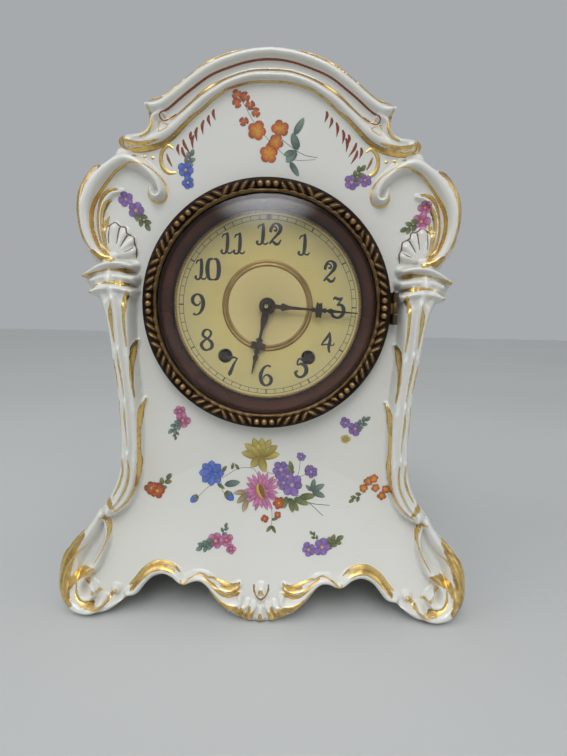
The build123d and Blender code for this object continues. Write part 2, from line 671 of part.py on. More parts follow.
def bezel_glass():
    """Domed glass: the space between two spherical caps of one radius."""
    edge = BEZEL_BORE + GLASS_SEAT - GLASS_PLAY
    radius = (edge ** 2 + GLASS_RISE ** 2) / (2 * GLASS_RISE)
    rim_front = BEZEL_FRONT + 3.2 + GLASS_PLAY
    rim_back = rim_front + GLASS_THICK
    outer = Pos(0, rim_front + radius - GLASS_RISE, DIAL_HEIGHT) * Sphere(radius)
    inner = Pos(0, rim_back + radius - GLASS_RISE, DIAL_HEIGHT) * Sphere(radius)
    blank = shaft(CENTER_AT, edge, rim_front - GLASS_RISE - 1, rim_back)
    return (blank & outer) - inner


def dial():
    """Flat dial with holes for the hands, the winding squares and the regulator."""
    face = Circle(DIAL_RADIUS) - Circle(CENTER_HOLE)
    for side in (-1, 1):
        face -= Pos(side * WINDING_X, WINDING_Z) * Circle(WINDING_HOLE)
    face -= Pos(*REGULATOR_AT) * Circle(REGULATOR_HOLE)
    return at_dial(face, DIAL_FRONT, DIAL_BACK)


def hand(profile, boss, bore, angle, front, back):
    """A pierced hand from half widths along its length, turned clockwise from twelve."""
    right = [(width, along) for along, width in profile]
    left = [(-width, along) for along, width in reversed(profile)]
    blade = make_face(Polyline(*(right + left), close=True))
    face = Rot(0, 0, -angle) * (blade + Circle(boss)) - Circle(bore)
    return at_dial(face, front, back)


# Half widths along the hands, as shares of their length and in millimetres
MINUTE_PROFILE = [(0.07, 1.4), (0.145, 1.1), (0.17, 2.3), (0.2, 1.7), (0.25, 1.0), (0.48, 0.55),
                  (0.51, 1.4), (0.53, 0.9), (0.545, 4.4), (0.572, 3.6), (0.6, 4.4), (0.61, 0.9),
                  (0.64, 1.5), (0.66, 0.6), (0.7, 1.5), (0.74, 0.8), (0.85, 0.55), (1.0, 0.3)]
HOUR_PROFILE = [(0.1, 1.6), (0.17, 2.0), (0.24, 1.7), (0.34, 0.8), (0.47, 0.7), (0.5, 2.2), (0.53, 1.0),
                (0.545, 4.4), (0.585, 3.6), (0.625, 4.4), (0.635, 1.1), (0.68, 1.6), (0.71, 0.7),
                (0.76, 1.6), (0.82, 0.8), (1.0, 0.3)]


def minute_hand():
    profile = [(share * MINUTE_LENGTH, width) for share, width in MINUTE_PROFILE]
    return hand(profile, HAND_BOSS - 0.6, CENTER_SQUARE / 2, MINUTE_ANGLE, MINUTE_FRONT, MINUTE_BACK)


def hour_hand():
    profile = [(share * HOUR_LENGTH, width) for share, width in HOUR_PROFILE]
    return hand(profile, HAND_BOSS, HOUR_PIPE, HOUR_ANGLE, HOUR_FRONT, HOUR_BACK)


def hand_nut():
    """Domed nut that holds the minute hand."""
    dome = Pos(0, MINUTE_FRONT + 1.2, DIAL_HEIGHT) * Sphere(3.0)
    front = shaft(CENTER_AT, 4.0, MINUTE_FRONT - 3, MINUTE_FRONT)
    return (dome & front) - shaft(CENTER_AT, CENTER_SQUARE / 2, MINUTE_FRONT - 1.2, MINUTE_FRONT)


def bored_plate(front, back, holes):
    """A round movement plate with its holes."""
    face = Circle(PLATE_RADIUS)
    for place, radius in holes:
        face -= Pos(*place) * Circle(radius)
    return at_dial(face, front, back)


def front_plate():
    """Front plate with pivot holes and the stud of the minute wheel."""
    holes = [(place, PIVOT + RUNNING_FIT) for place in TRAIN_AT]
    holes += [(PALLET_AT, PIVOT + RUNNING_FIT), (HAMMER_AT, PIVOT + RUNNING_FIT)]
    holes += [(CENTER_AT, CANNON_RADIUS + RUNNING_FIT), (REGULATOR_AT, REGULATOR_ARBOR + RUNNING_FIT)]
    holes += [(place, BARREL_ARBOR + RUNNING_FIT) for place in (TIME_BARREL_AT, STRIKE_BARREL_AT)]
    plate = bored_plate(FRONT_PLATE, PLATE_BACK, holes)
    stud = shaft(MOTION_AT, POST_STUD, FRONT_PLATE - 8.0, FRONT_PLATE)
    for side, click_at in ((1, TIME_CLICK_AT), (-1, STRIKE_CLICK_AT)):
        stud += shaft(click_at, CLICK_STUD, FRONT_PLATE - RATCHET_THICK - 1.4, FRONT_PLATE)
    return plate + stud


def back_plate():
    """Back plate with pivot holes and the stud of the count wheel."""
    holes = [(place, PIVOT + RUNNING_FIT) for place in TRAIN_AT if place != PIN_WHEEL_AT]
    holes += [(CENTER_AT, PIVOT + RUNNING_FIT), (PIN_WHEEL_AT, ARBOR + RUNNING_FIT)]
    holes += [(PALLET_AT, 3.0), (HAMMER_AT, ARBOR + RUNNING_FIT)]
    holes += [(REGULATOR_AT, REGULATOR_ARBOR + RUNNING_FIT)]
    holes += [(place, BARREL_ARBOR - 1.0 + RUNNING_FIT) for place in (TIME_BARREL_AT, STRIKE_BARREL_AT)]
    holes += [(place, NUT_THREAD) for place in PILLAR_AT]
    plate = bored_plate(BACK_PLATE, REAR, holes)
    return plate + shaft(COUNT_AT, COUNT_STUD, REAR, REAR + 6.6)


def plate_pillars():
    """Pillars riveted to the front plate, with threaded tails through the back plate."""
    pillars = []
    for place in PILLAR_AT:
        body = shaft(place, PLATE_PILLAR, PLATE_BACK, BACK_PLATE)
        pillars.append(body + shaft(place, NUT_THREAD - PIN_SEAT, BACK_PLATE, REAR + NUT_THICK + 0.8))
    return Compound(children=pillars)


def pillar_nuts():
    """Hexagonal nuts on the pillars' tails."""
    nuts = []
    for place in PILLAR_AT:
        face = Pos(*place) * (RegularPolygon(NUT_RADIUS, 6) - Circle(NUT_THREAD))
        nuts.append(at_dial(face, REAR, REAR + NUT_THICK))
    return Compound(children=nuts)


def movement_posts():
    """Four posts between the pan's floor and the front plate."""
    posts = []
    for place in POST_AT:
        posts.append(shaft(place, POST_RADIUS, PAN_BACK, FRONT_PLATE))
    return Compound(children=posts)


def barrel(place, partner, teeth_angle):
    """Great wheel with the closed drum of the mainspring behind it."""
    module = gear_module(GREAT_TEETH, SECOND_PINION, span(place, partner))
    bore = BARREL_ARBOR + RUNNING_FIT
    wheel = gear_face(GREAT_TEETH, module, teeth_angle) - Circle(bore)
    drum = at_dial(Pos(*place) * wheel, GREAT_FRONT, DRUM_FRONT)
    drum += washer(place, DRUM_RADIUS, DRUM_RADIUS - DRUM_WALL, DRUM_FRONT, DRUM_BACK)
    drum += washer(place, DRUM_RADIUS, bore, DRUM_BACK - DRUM_WALL, DRUM_BACK)
    return drum


def mainspring(place):
    """Spiral mainspring that fills the drum."""
    start = DRUM_RADIUS - DRUM_WALL - 0.2 - SPRING_THICK - SPRING_TURNS * SPRING_PITCH
    strip = spiral_face(start, SPRING_PITCH, SPRING_TURNS, SPRING_THICK)
    return at_dial(Pos(*place) * strip, DRUM_FRONT + 0.5, DRUM_BACK - DRUM_WALL - 0.5)


def barrel_arbor(place):
    """Winding arbor with its square in front and a shouldered body in the drum."""
    shoulder = BARREL_ARBOR + 1.4
    arbor = shaft(place, BARREL_ARBOR, FRONT_PLATE - RATCHET_THICK - 1.4, BACK_PLATE - END_SHAKE)
    arbor += shaft(place, shoulder, DRUM_FRONT + END_SHAKE, DRUM_BACK - DRUM_WALL - END_SHAKE)
    arbor += shaft(place, BARREL_ARBOR - 1.0, BACK_PLATE - END_SHAKE, REAR + 1.0)
    square = Pos(*place) * Rectangle(WINDING_SQUARE, WINDING_SQUARE)
    arbor += at_dial(square, DIAL_FRONT + 0.4, FRONT_PLATE - RATCHET_THICK - 1.4)
    return arbor


def ratchet(place, lean):
    """Ratchet wheel on the winding arbor, in front of the front plate."""
    face = ratchet_face(RATCHET_RADIUS, RATCHET_TEETH, lean) - Circle(BARREL_ARBOR + PIN_SEAT)
    back = FRONT_PLATE - 0.4
    return at_dial(Pos(*place) * face, back - RATCHET_THICK, back)


def click(place, barrel_place):
    """Click that drops into the ratchet, on its screw."""
    direction = heading(place, barrel_place)
    nose = CLICK_REACH - RATCHET_RADIUS - CLICK_GAP
    blade = Polygon((-0.5, -2.2), (nose - 0.8, -0.9), (nose, 0.2), (nose - 0.8, 1.2), (-0.5, 2.2), align=None)
    face = Rot(0, 0, direction) * (blade + Circle(2.6)) - Circle(CLICK_STUD + RUNNING_FIT)
    back = FRONT_PLATE - 0.4
    return at_dial(Pos(*place) * face, back - RATCHET_THICK, back)


def click_springs():
    """Bent wire springs that press the clicks, fixed on the front plate."""
    springs = []
    for side, click_at in ((1, TIME_CLICK_AT), (-1, STRIKE_CLICK_AT)):
        foot = (click_at[0] - side * 2.0, click_at[1] + 11.0)
        tip = (click_at[0] + side * 3.4, click_at[1] + 1.2)
        bend = (click_at[0] + side * 3.6, click_at[1] + 6.5)
        path = ThreePointArc(foot, bend, tip)
        strip = make_face([path, Line(tip, (tip[0] + side * 0.7, tip[1])),
                           ThreePointArc((tip[0] + side * 0.7, tip[1]), (bend[0] + side * 0.7, bend[1] + 0.5),
                                         (foot[0], foot[1] + 0.8)),
                           Line((foot[0], foot[1] + 0.8), foot)])
        blade = at_dial(strip, FRONT_PLATE - 1.6, FRONT_PLATE - 0.4)
        springs.append(blade + shaft(foot, 1.3, FRONT_PLATE - 2.0, FRONT_PLATE))
    return Compound(children=springs)


def train_arbor(place, pinion_teeth, module, tooth_at, pinion_middle, back_end=None):
    """Steel arbor with its pivots and a pinion cut in it."""
    front = PLATE_BACK + END_SHAKE
    back = BACK_PLATE - END_SHAKE
    arbor = shaft(place, min(ARBOR, pinion_teeth * module / 2 - DEDENDUM * module), front, back)
    arbor += shaft(place, PIVOT, FRONT_PLATE + 0.2, front)
    if back_end is None:
        arbor += shaft(place, PIVOT, back, REAR - 0.2)
    pinion = gear_face(pinion_teeth, module, tooth_at)
    low = pinion_middle - PINION_LENGTH / 2
    return arbor + at_dial(Pos(*place) * pinion, low, low + PINION_LENGTH)


def train_wheel(place, teeth, module, tooth_at, front, spokes, bore):
    """Crossed-out brass wheel on its collet."""
    face = wheel_face(teeth, module, tooth_at, 3.4, spokes, bore)
    wheel = at_dial(Pos(*place) * face, front, front + WHEEL_THICK)
    return wheel + washer(place, bore + 1.2, bore, front + WHEEL_THICK, front + WHEEL_THICK + 1.4)


# Modules of the meshing pairs
CENTER_MODULE = gear_module(SECOND_TEETH, CENTER_PINION, SECOND_DISTANCE)
GREAT_MODULE = gear_module(GREAT_TEETH, SECOND_PINION, span(TIME_BARREL_AT, SECOND_AT))
THIRD_MODULE = gear_module(CENTER_TEETH, THIRD_PINION, THIRD_DISTANCE)
ESCAPE_MODULE = gear_module(THIRD_TEETH, ESCAPE_PINION, ESCAPE_DISTANCE)
WARNING_MODULE = gear_module(PIN_TEETH, WARNING_PINION, WARNING_DISTANCE)
FLY_MODULE = gear_module(WARNING_TEETH, FLY_PINION, FLY_DISTANCE)
COUNT_MODULE = gear_module(COUNT_TEETH, COUNT_PINION, COUNT_DISTANCE)
CANNON_MODULE = gear_module(CANNON_TEETH, MINUTE_TEETH, MOTION_DISTANCE)
HOUR_MODULE = gear_module(MINUTE_PINION, HOUR_TEETH, MOTION_DISTANCE)
GREAT_MIDDLE = GREAT_FRONT + GREAT_WHEEL_THICK / 2
SECOND_MIDDLE = SECOND_FRONT + WHEEL_THICK / 2
CENTER_MIDDLE = CENTER_FRONT + WHEEL_THICK / 2
THIRD_MIDDLE = THIRD_FRONT + WHEEL_THICK / 2
WARNING_MIDDLE = WARNING_FRONT + WHEEL_THICK / 2


def escape_wheel():
    """Escape wheel with leaning teeth."""
    step = 360 / ESCAPE_TEETH
    points = []
    for tooth in range(ESCAPE_TEETH):
        points.append(polar(ESCAPE_RADIUS - 1.7, tooth * step - step * 0.3))
        points.append(polar(ESCAPE_RADIUS, tooth * step))
        points.append(polar(ESCAPE_RADIUS - 1.7, tooth * step + step * 0.12))
    face = make_face(Polyline(*points, close=True)) - (Circle(ESCAPE_RADIUS - 3.2) - Circle(2.6))
    for spoke in range(4):
        face += Rot(0, 0, 90 * spoke) * Pos(ESCAPE_RADIUS / 2 - 0.6, 0) * Rectangle(ESCAPE_RADIUS - 3.4, 1.2)
    root = ESCAPE_PINION * ESCAPE_MODULE / 2 - DEDENDUM * ESCAPE_MODULE
    face -= Circle(root + PIN_SEAT)
    return at_dial(Pos(*ESCAPE_AT) * face, ESCAPE_FRONT, ESCAPE_FRONT + WHEEL_THICK)


def pallets():
    """Recoil pallets on their arbor, with nibs that clear the escape wheel's tips."""
    reach = ESCAPE_RADIUS * 0.72
    drop = PALLET_DISTANCE - math.sqrt((ESCAPE_RADIUS + PALLET_CLEARANCE) ** 2 - reach ** 2)
    outline = Polygon((-2.4, 2.2), (2.4, 2.2), (reach + 1.4, -drop + 2.8), (reach + 1.0, -drop),
                      (reach - 0.6, -drop + 0.9), (reach - 1.0, -drop + 2.6), (1.6, -0.6),
                      (-1.6, -0.6), (-reach + 1.0, -drop + 2.6), (-reach + 0.6, -drop + 0.9),
                      (-reach - 1.0, -drop), (-reach - 1.4, -drop + 2.8), align=None)
    body = at_dial(Pos(*PALLET_AT) * outline, ESCAPE_FRONT - 0.8, ESCAPE_FRONT + WHEEL_THICK + 0.8)
    arbor = shaft(PALLET_AT, 1.2, PLATE_BACK + END_SHAKE, COCK_FRONT - END_SHAKE)
    arbor += shaft(PALLET_AT, PIVOT, FRONT_PLATE + 0.2, PLATE_BACK + END_SHAKE)
    arbor += shaft(PALLET_AT, PIVOT, COCK_FRONT - END_SHAKE, COCK_FRONT + COCK_THICK - 0.2)
    return body + arbor


def crutch():
    """Crutch wire that hangs from the pallet arbor and embraces the pendulum rod."""
    front = REAR + 1.4
    hub = washer(PALLET_AT, 2.6, 1.2 + PIN_SEAT, front, front + 2.0)
    foot_z = PALLET_AT[1] - CRUTCH_LENGTH
    wire_top = PALLET_AT[1] - 2.0
    wire_middle = Pos(0, front + 1.0, DIAL_HEIGHT + (wire_top + foot_z) / 2)
    wire = wire_middle * Cylinder(0.7, wire_top - foot_z)
    back = PENDULUM_Y + 2.0
    prongs = None
    for side in (-1, 1):
        x = side * (ROD_RADIUS + 0.9)
        prong = Pos(x, (front + back) / 2 + 0.5, DIAL_HEIGHT + foot_z) * Box(1.0, back - front - 1.0, 1.4)
        prongs = prong if prongs is None else prongs + prong
    bridge = Pos(0, front + 1.0, DIAL_HEIGHT + foot_z) * Box(2 * ROD_RADIUS + 2.8, 1.4, 1.4)
    return hub + wire + bridge + prongs


def back_cock():
    """Bridge that carries the back pivot of the pallets, and the suspension stud."""
    top = PALLET_AT[1]
    bridge = Pos(0, top + 1.0) * RectangleRounded(2 * COCK_HALF, 9.0, 3.0)
    bridge -= Pos(*PALLET_AT) * Circle(PIVOT + RUNNING_FIT)
    bridge -= Pos(*REGULATOR_AT) * Circle(REGULATOR_ARBOR + RUNNING_FIT)
    cock = at_dial(bridge, COCK_FRONT, COCK_FRONT + COCK_THICK)
    for side in (-1, 1):
        cock += shaft((side * (COCK_HALF - 3.2), top + 0.6), 2.4, REAR, COCK_FRONT)
    stud_front = COCK_FRONT + COCK_THICK
    for side in (-1, 1):
        cheek = Pos(side * (STUD_GAP + 0.8), (stud_front + PENDULUM_Y + 3.0) / 2, DIAL_HEIGHT + top + 3.6)
        cock += cheek * Box(1.6, PENDULUM_Y + 3.0 - stud_front, 3.0)
    return cock


def regulator_arbor():
    """Rate adjustment arbor from the dial through the plates to the cock."""
    arbor = shaft(REGULATOR_AT, REGULATOR_ARBOR, DIAL_FRONT + 3.0, COCK_FRONT + COCK_THICK - 0.2)
    square = Pos(*REGULATOR_AT) * Rectangle(REGULATOR_SQUARE, REGULATOR_SQUARE)
    return arbor + at_dial(square, DIAL_FRONT + 0.4, DIAL_FRONT + 3.0)


def suspension_spring():
    """Thin spring between two brass chops, clamped in the stud of the cock."""
    height = SUSPENSION_TOP - HOOK_Z
    leaf = Pos(0, PENDULUM_Y, DIAL_HEIGHT + (SUSPENSION_TOP + HOOK_Z) / 2) * Box(0.3, 3.0, height)
    top = Pos(0, PENDULUM_Y, DIAL_HEIGHT + SUSPENSION_TOP) * Box(2.2, 4.4, 2.4)
    foot = Pos(0, PENDULUM_Y, DIAL_HEIGHT + HOOK_Z) * Box(2.4, 4.0, 3.0)
    return leaf + top + foot


def pendulum_rod():
    """Rod from the suspension's lower chop down through the bob, threaded at its end."""
    top = HOOK_Z - 1.5
    foot = PALLET_AT[1] - PENDULUM_LENGTH - BOB_RADIUS - 9.0
    middle = DIAL_HEIGHT + (top + foot) / 2
    return Pos(0, PENDULUM_Y, middle) * Cylinder(ROD_RADIUS, top - foot)


def pendulum_bob():
    """Lens-shaped brass bob bored for the rod."""
    half = BOB_THICK / 2
    radius = (BOB_RADIUS ** 2 + half ** 2) / (2 * half)
    middle = (0, PENDULUM_Y, DIAL_HEIGHT + BOB_Z)
    front = Pos(0, PENDULUM_Y - half + radius, middle[2]) * Sphere(radius)
    back = Pos(0, PENDULUM_Y + half - radius, middle[2]) * Sphere(radius)
    return (front & back) - Pos(*middle) * Cylinder(ROD_RADIUS + PIN_SEAT, 4 * BOB_RADIUS)


def rating_nut():
    """Round nut under the bob that sets the rate."""
    top = BOB_Z - BOB_RADIUS - NUT_BELOW_BOB
    nut = Pos(0, PENDULUM_Y, DIAL_HEIGHT + top - 1.5) * Cylinder(3.4, 3.0)
    nut += Pos(0, PENDULUM_Y, DIAL_HEIGHT + top - 3.8) * Cylinder(2.0, 1.6)
    return nut - Pos(0, PENDULUM_Y, DIAL_HEIGHT + top - 3) * Cylinder(ROD_RADIUS + RUNNING_FIT, 20)


def cannon_pinion():
    """Pipe that carries the minute hand, with its pinion in front of the front plate."""
    bore = CENTER_ARBOR_FRONT + RUNNING_FIT
    pinion = gear_face(CANNON_TEETH, CANNON_MODULE, 45.0) - Circle(bore)
    low = FRONT_PLATE - 3.6
    cannon = at_dial(pinion, low, low + 2.4)
    cannon += washer(CENTER_AT, CANNON_RADIUS, bore, MINUTE_BACK, low)
    cannon += washer(CENTER_AT, CENTER_SQUARE / 2, bore, MINUTE_FRONT - 1.0, MINUTE_BACK)
    return cannon


def minute_wheel():
    """Wheel and pinion on the front plate's stud that gear the hands down."""
    wheel_at = facing_teeth(MINUTE_TEETH, 45.0)
    wheel = gear_face(MINUTE_TEETH, CANNON_MODULE, wheel_at) - Circle(POST_STUD + RUNNING_FIT)
    low = FRONT_PLATE - 3.1
    solid = at_dial(Pos(*MOTION_AT) * wheel, low, low + 1.4)
    pinion = gear_face(MINUTE_PINION, HOUR_MODULE, 225.0) - Circle(POST_STUD + RUNNING_FIT)
    return solid + at_dial(Pos(*MOTION_AT) * pinion, low - 4.4, low)


def hour_wheel():
    """Wheel and pipe of the hour hand, free on the cannon."""
    face = gear_face(HOUR_TEETH, HOUR_MODULE, 45.0 + 180 / HOUR_TEETH) - Circle(HOUR_BORE)
    low = FRONT_PLATE - 6.8
    return at_dial(face, low, low + 1.4) + washer(CENTER_AT, HOUR_PIPE, HOUR_BORE, HOUR_FRONT, low)


def center_arbor():
    """Centre arbor with its pinion, reaching forward through the cannon."""
    tooth_at = facing_teeth(CENTER_PINION, heading(SECOND_AT, CENTER_AT))
    arbor = shaft(CENTER_AT, ARBOR, PLATE_BACK + END_SHAKE, BACK_PLATE - END_SHAKE)
    arbor += shaft(CENTER_AT, PIVOT, BACK_PLATE - END_SHAKE, REAR - 0.2)
    arbor += shaft(CENTER_AT, CENTER_ARBOR_FRONT, MINUTE_FRONT - 0.8, PLATE_BACK + END_SHAKE)
    arbor += washer(CENTER_AT, CANNON_RADIUS, CENTER_ARBOR_FRONT, FRONT_PLATE - 0.9, PLATE_BACK + END_SHAKE)
    low = SECOND_MIDDLE - PINION_LENGTH / 2
    return arbor + at_dial(gear_face(CENTER_PINION, CENTER_MODULE, tooth_at), low, low + PINION_LENGTH)


def pin_wheel():
    """Second wheel of the strike with the pins that lift the hammer."""
    bore = ARBOR + PIN_SEAT
    wheel = train_wheel(PIN_WHEEL_AT, PIN_TEETH, WARNING_MODULE, WARNING_ANGLE, SECOND_FRONT, 4, bore)
    for pin in range(HAMMER_PINS):
        place = polar(HAMMER_PIN_CIRCLE, 360 * (pin + 0.5) / HAMMER_PINS, PIN_WHEEL_AT)
        wheel += shaft(place, 0.7, SECOND_FRONT + WHEEL_THICK - 0.5, SECOND_FRONT + WHEEL_THICK + 3.4)
    return wheel


def fly():
    """Air brake of the strike: two thin vanes on a spindle with a pinion."""
    tooth_at = facing_teeth(FLY_PINION, FLY_ANGLE)
    spindle = train_arbor(FLY_AT, FLY_PINION, FLY_MODULE, tooth_at, WARNING_MIDDLE)
    front = PLATE_BACK + 3.0
    back = WARNING_FRONT - PINION_LENGTH / 2 - 1.2
    vane = Pos(*FLY_AT) * Rot(0, 0, 25) * Rectangle(2 * FLY_REACH, 0.8)
    collar = shaft(FLY_AT, 1.8, front - 0.8, back + 0.4)
    return spindle + at_dial(vane, front, back) + collar


def count_wheel():
    """Toothed count wheel with twelve notch groups, behind the back plate."""
    tooth_at = facing_teeth(COUNT_TEETH, COUNT_ANGLE)
    face = gear_face(COUNT_TEETH, COUNT_MODULE, tooth_at)
    notch_circle = COUNT_TEETH * COUNT_MODULE / 2 - 2.6
    blows = 0
    for hour in range(1, 13):
        blows += hour
        place = polar(notch_circle, 360 * blows / 78)
        face -= Pos(*place) * Circle(0.6)
    face -= Circle(COUNT_STUD + RUNNING_FIT)
    front = REAR + 4.2
    wheel = at_dial(Pos(*COUNT_AT) * face, front, front + WHEEL_THICK)
    return wheel + washer(COUNT_AT, 2.6, COUNT_STUD + RUNNING_FIT, front - 0.8, front)


def pin_arbor():
    """Arbor of the pin wheel with a second pinion behind the back plate."""
    tooth_at = facing_teeth(SECOND_PINION, heading(STRIKE_BARREL_AT, PIN_WHEEL_AT))
    arbor = train_arbor(PIN_WHEEL_AT, SECOND_PINION, GREAT_MODULE, tooth_at, GREAT_MIDDLE, REAR)
    root = COUNT_PINION * COUNT_MODULE / 2 - DEDENDUM * COUNT_MODULE
    arbor += shaft(PIN_WHEEL_AT, root, BACK_PLATE - END_SHAKE, REAR + 6.4)
    arbor += shaft(PIN_WHEEL_AT, ARBOR, BACK_PLATE - END_SHAKE, REAR + 1.0)
    pinion = Pos(*PIN_WHEEL_AT) * gear_face(COUNT_PINION, COUNT_MODULE, COUNT_ANGLE)
    return arbor + at_dial(pinion, REAR + 3.4, REAR + 6.4)


def hammer():
    """Hammer arbor, its tail over the pins and the rod with the striking head."""
    rod_y = GONG_Y + 1.5
    arbor = shaft(HAMMER_AT, ARBOR, PLATE_BACK + END_SHAKE, rod_y + 1.0)
    arbor += shaft(HAMMER_AT, PIVOT, FRONT_PLATE + 0.2, PLATE_BACK + END_SHAKE)
    tail_reach = HAMMER_DISTANCE - HAMMER_PIN_CIRCLE - 0.7 - 0.3
    direction = heading(HAMMER_AT, PIN_WHEEL_AT)
    tail = Rot(0, 0, direction) * (Pos(tail_reach / 2, 0) * Rectangle(tail_reach, 2.0)) + Circle(2.4)
    tail_front = SECOND_FRONT + WHEEL_THICK + 1.0
    arbor += at_dial(Pos(*HAMMER_AT) * tail, tail_front, tail_front + 2.0)
    head_x = -GONG_RADIUS - HAMMER_GAP - HAMMER_HEAD
    head_at = (head_x - 3.0, GONG_DROP + 2.0)
    length = span(HAMMER_AT, head_at)
    middle = ((HAMMER_AT[0] + head_at[0]) / 2, (HAMMER_AT[1] + head_at[1]) / 2)
    rod = Pos(*middle) * Rot(0, 0, heading(HAMMER_AT, head_at)) * Rectangle(length, 1.8)
    arbor += at_dial(rod, rod_y - 0.9, rod_y + 0.9)
    head = Pos(head_x, rod_y, DIAL_HEIGHT + GONG_DROP) * Rot(0, 90, 0) * Cylinder(4.0, 2 * HAMMER_HEAD)
    return arbor + head


def gong():
    """Coiled wire gong on an iron block that is screwed to the back plate."""
    start = GONG_RADIUS - GONG_WIRE - GONG_TURNS * GONG_PITCH
    coil = spiral_face(start, GONG_PITCH, GONG_TURNS, GONG_WIRE)
    solid = at_dial(Pos(*GONG_AT) * coil, GONG_Y, GONG_Y + 3.0)
    end_x = GONG_AT[0] + GONG_RADIUS - GONG_WIRE / 2
    block_x = end_x + 1.6
    foot_top = GONG_DROP - GONG_FOOT_DROP
    foot = Pos(block_x, (REAR + GONG_Y + 3.0) / 2, DIAL_HEIGHT + foot_top - 3.0)
    solid += foot * Box(5.0, GONG_Y + 3.0 - REAR, 6.0)
    rise = GONG_FOOT_DROP + 1.5
    clamp = Pos(block_x, GONG_Y, DIAL_HEIGHT + foot_top + rise / 2) * Box(5.0, 6.0, rise)
    return solid + clamp


def back_ring():
    """Flat brass ring on the back wall, with the door's hinge barrels."""
    ring_back = BACK + BACK_RING_THICK
    ring = washer(CENTER_AT, BACK_RING_OUTER, BACK_RING_INNER, BACK, ring_back)
    for side in (-1, 1):
        ring -= shaft((side * STRAP_AT[0], STRAP_AT[1]), STRAP_SCREW, BACK - 1, ring_back + 1)
    web_x = (DOOR_HINGE_X, DOOR_HINGE_X + HINGE_KNUCKLE)
    return ring + outer_knuckles(DOOR_HINGE_X, DOOR_HINGE_Y, web_x, (ring_back - 0.4, DOOR_HINGE_Y))


def back_door():
    """Round pierced brass door with its hinge barrel."""
    front = BACK + BACK_RING_THICK + DOOR_LIFT
    face = Circle(DOOR_RADIUS)
    for slot in range(SLOT_COUNT):
        turn = Rot(0, 0, 360 * (slot + 0.5) / SLOT_COUNT)
        face -= turn * Pos(SLOT_CIRCLE, 0) * RectangleRounded(SLOT_LENGTH, SLOT_WIDTH, 1.4)
    door = at_dial(face, front, front + DOOR_THICK)
    gap = KNUCKLE_REACH + HINGE_GAP
    for low, high in ((KNUCKLE_HALF, gap), (-gap, -KNUCKLE_HALF)):
        door -= hinge_block(DOOR_RADIUS - 1.4, DOOR_RADIUS + 2, front - 1, front + DOOR_THICK + 1, low, high)
    bore = HINGE_PIN + RUNNING_FIT
    web = hinge_block(DOOR_RADIUS - 2.0, DOOR_HINGE_X, front, front + DOOR_THICK, -KNUCKLE_HALF, KNUCKLE_HALF)
    web -= Pos(DOOR_HINGE_X, DOOR_HINGE_Y, DIAL_HEIGHT) * Cylinder(bore, 20)
    return door + web + knuckle(DOOR_HINGE_X, DOOR_HINGE_Y, -KNUCKLE_HALF, KNUCKLE_HALF, bore)


def door_knob():
    """Small turned knob near the free edge of the door."""
    start = BACK + BACK_RING_THICK + DOOR_LIFT + DOOR_THICK
    place = (-DOOR_RADIUS + KNOB_INSET, 0.0)
    stem = shaft(place, 1.5, start, start + 3.0)
    ball = Pos(place[0], start + KNOB_LENGTH - KNOB_RADIUS, DIAL_HEIGHT) * Sphere(KNOB_RADIUS)
    return stem + ball


# Case and furniture
save(porcelain_case(), "porcelain_case")
save(dial_pan(), "dial_pan")
save(dial(), "dial")
save(washer(CENTER_AT, CENTER_RING_OUTER, CENTER_RING_INNER, RING_FRONT, DIAL_FRONT), "dial_center_ring")
save(bezel(), "bezel")
save(bezel_glass(), "bezel_glass")
save(hinge_pin(BEZEL_HINGE_X, BEZEL_HINGE_Y), "bezel_hinge_pin")
save(back_ring(), "back_ring")
save(back_door(), "back_door")
save(door_knob(), "back_door_knob")
save(hinge_pin(DOOR_HINGE_X, DOOR_HINGE_Y), "back_door_pin")
save(case_straps(), "case_straps")
save(case_screws(), "case_screws")

# Hands and motion work
save(minute_hand(), "minute_hand")
save(hour_hand(), "hour_hand")
save(hand_nut(), "hand_nut")
save(cannon_pinion(), "cannon_pinion")
save(minute_wheel(), "minute_wheel")
save(hour_wheel(), "hour_wheel")

# Frame of the movement
save(front_plate(), "front_plate")
save(back_plate(), "back_plate")
save(plate_pillars(), "plate_pillars")
save(pillar_nuts(), "pillar_nuts")
save(movement_posts(), "movement_posts")
save(click_springs(), "click_springs")

# Winding side of both trains
SIDES = (("time", TIME_BARREL_AT, SECOND_AT, TIME_CLICK_AT, 1),
         ("strike", STRIKE_BARREL_AT, PIN_WHEEL_AT, STRIKE_CLICK_AT, -1))
for name, barrel_at, second_at, click_at, lean in SIDES:
    save(barrel(barrel_at, second_at, heading(barrel_at, second_at)), name + "_barrel")
    save(mainspring(barrel_at), name + "_mainspring")
    save(barrel_arbor(barrel_at), name + "_winding_arbor")
    save(ratchet(barrel_at, lean), name + "_ratchet")
    save(click(click_at, barrel_at), name + "_click")

# Going train
SECOND_TOOTH = heading(SECOND_AT, CENTER_AT)
second_pinion_at = facing_teeth(SECOND_PINION, heading(TIME_BARREL_AT, SECOND_AT))
save(train_wheel(SECOND_AT, SECOND_TEETH, CENTER_MODULE, SECOND_TOOTH, SECOND_FRONT, 5, ARBOR + PIN_SEAT),
     "intermediate_wheel")
save(train_arbor(SECOND_AT, SECOND_PINION, GREAT_MODULE, second_pinion_at, GREAT_MIDDLE),
     "intermediate_arbor")
save(train_wheel(CENTER_AT, CENTER_TEETH, THIRD_MODULE, THIRD_ANGLE, CENTER_FRONT, 5, ARBOR + PIN_SEAT),
     "center_wheel")
save(center_arbor(), "center_arbor")
third_pinion_at = facing_teeth(THIRD_PINION, THIRD_ANGLE)
third_root = THIRD_PINION * THIRD_MODULE / 2 - DEDENDUM * THIRD_MODULE
third_tooth = heading(THIRD_AT, ESCAPE_AT)
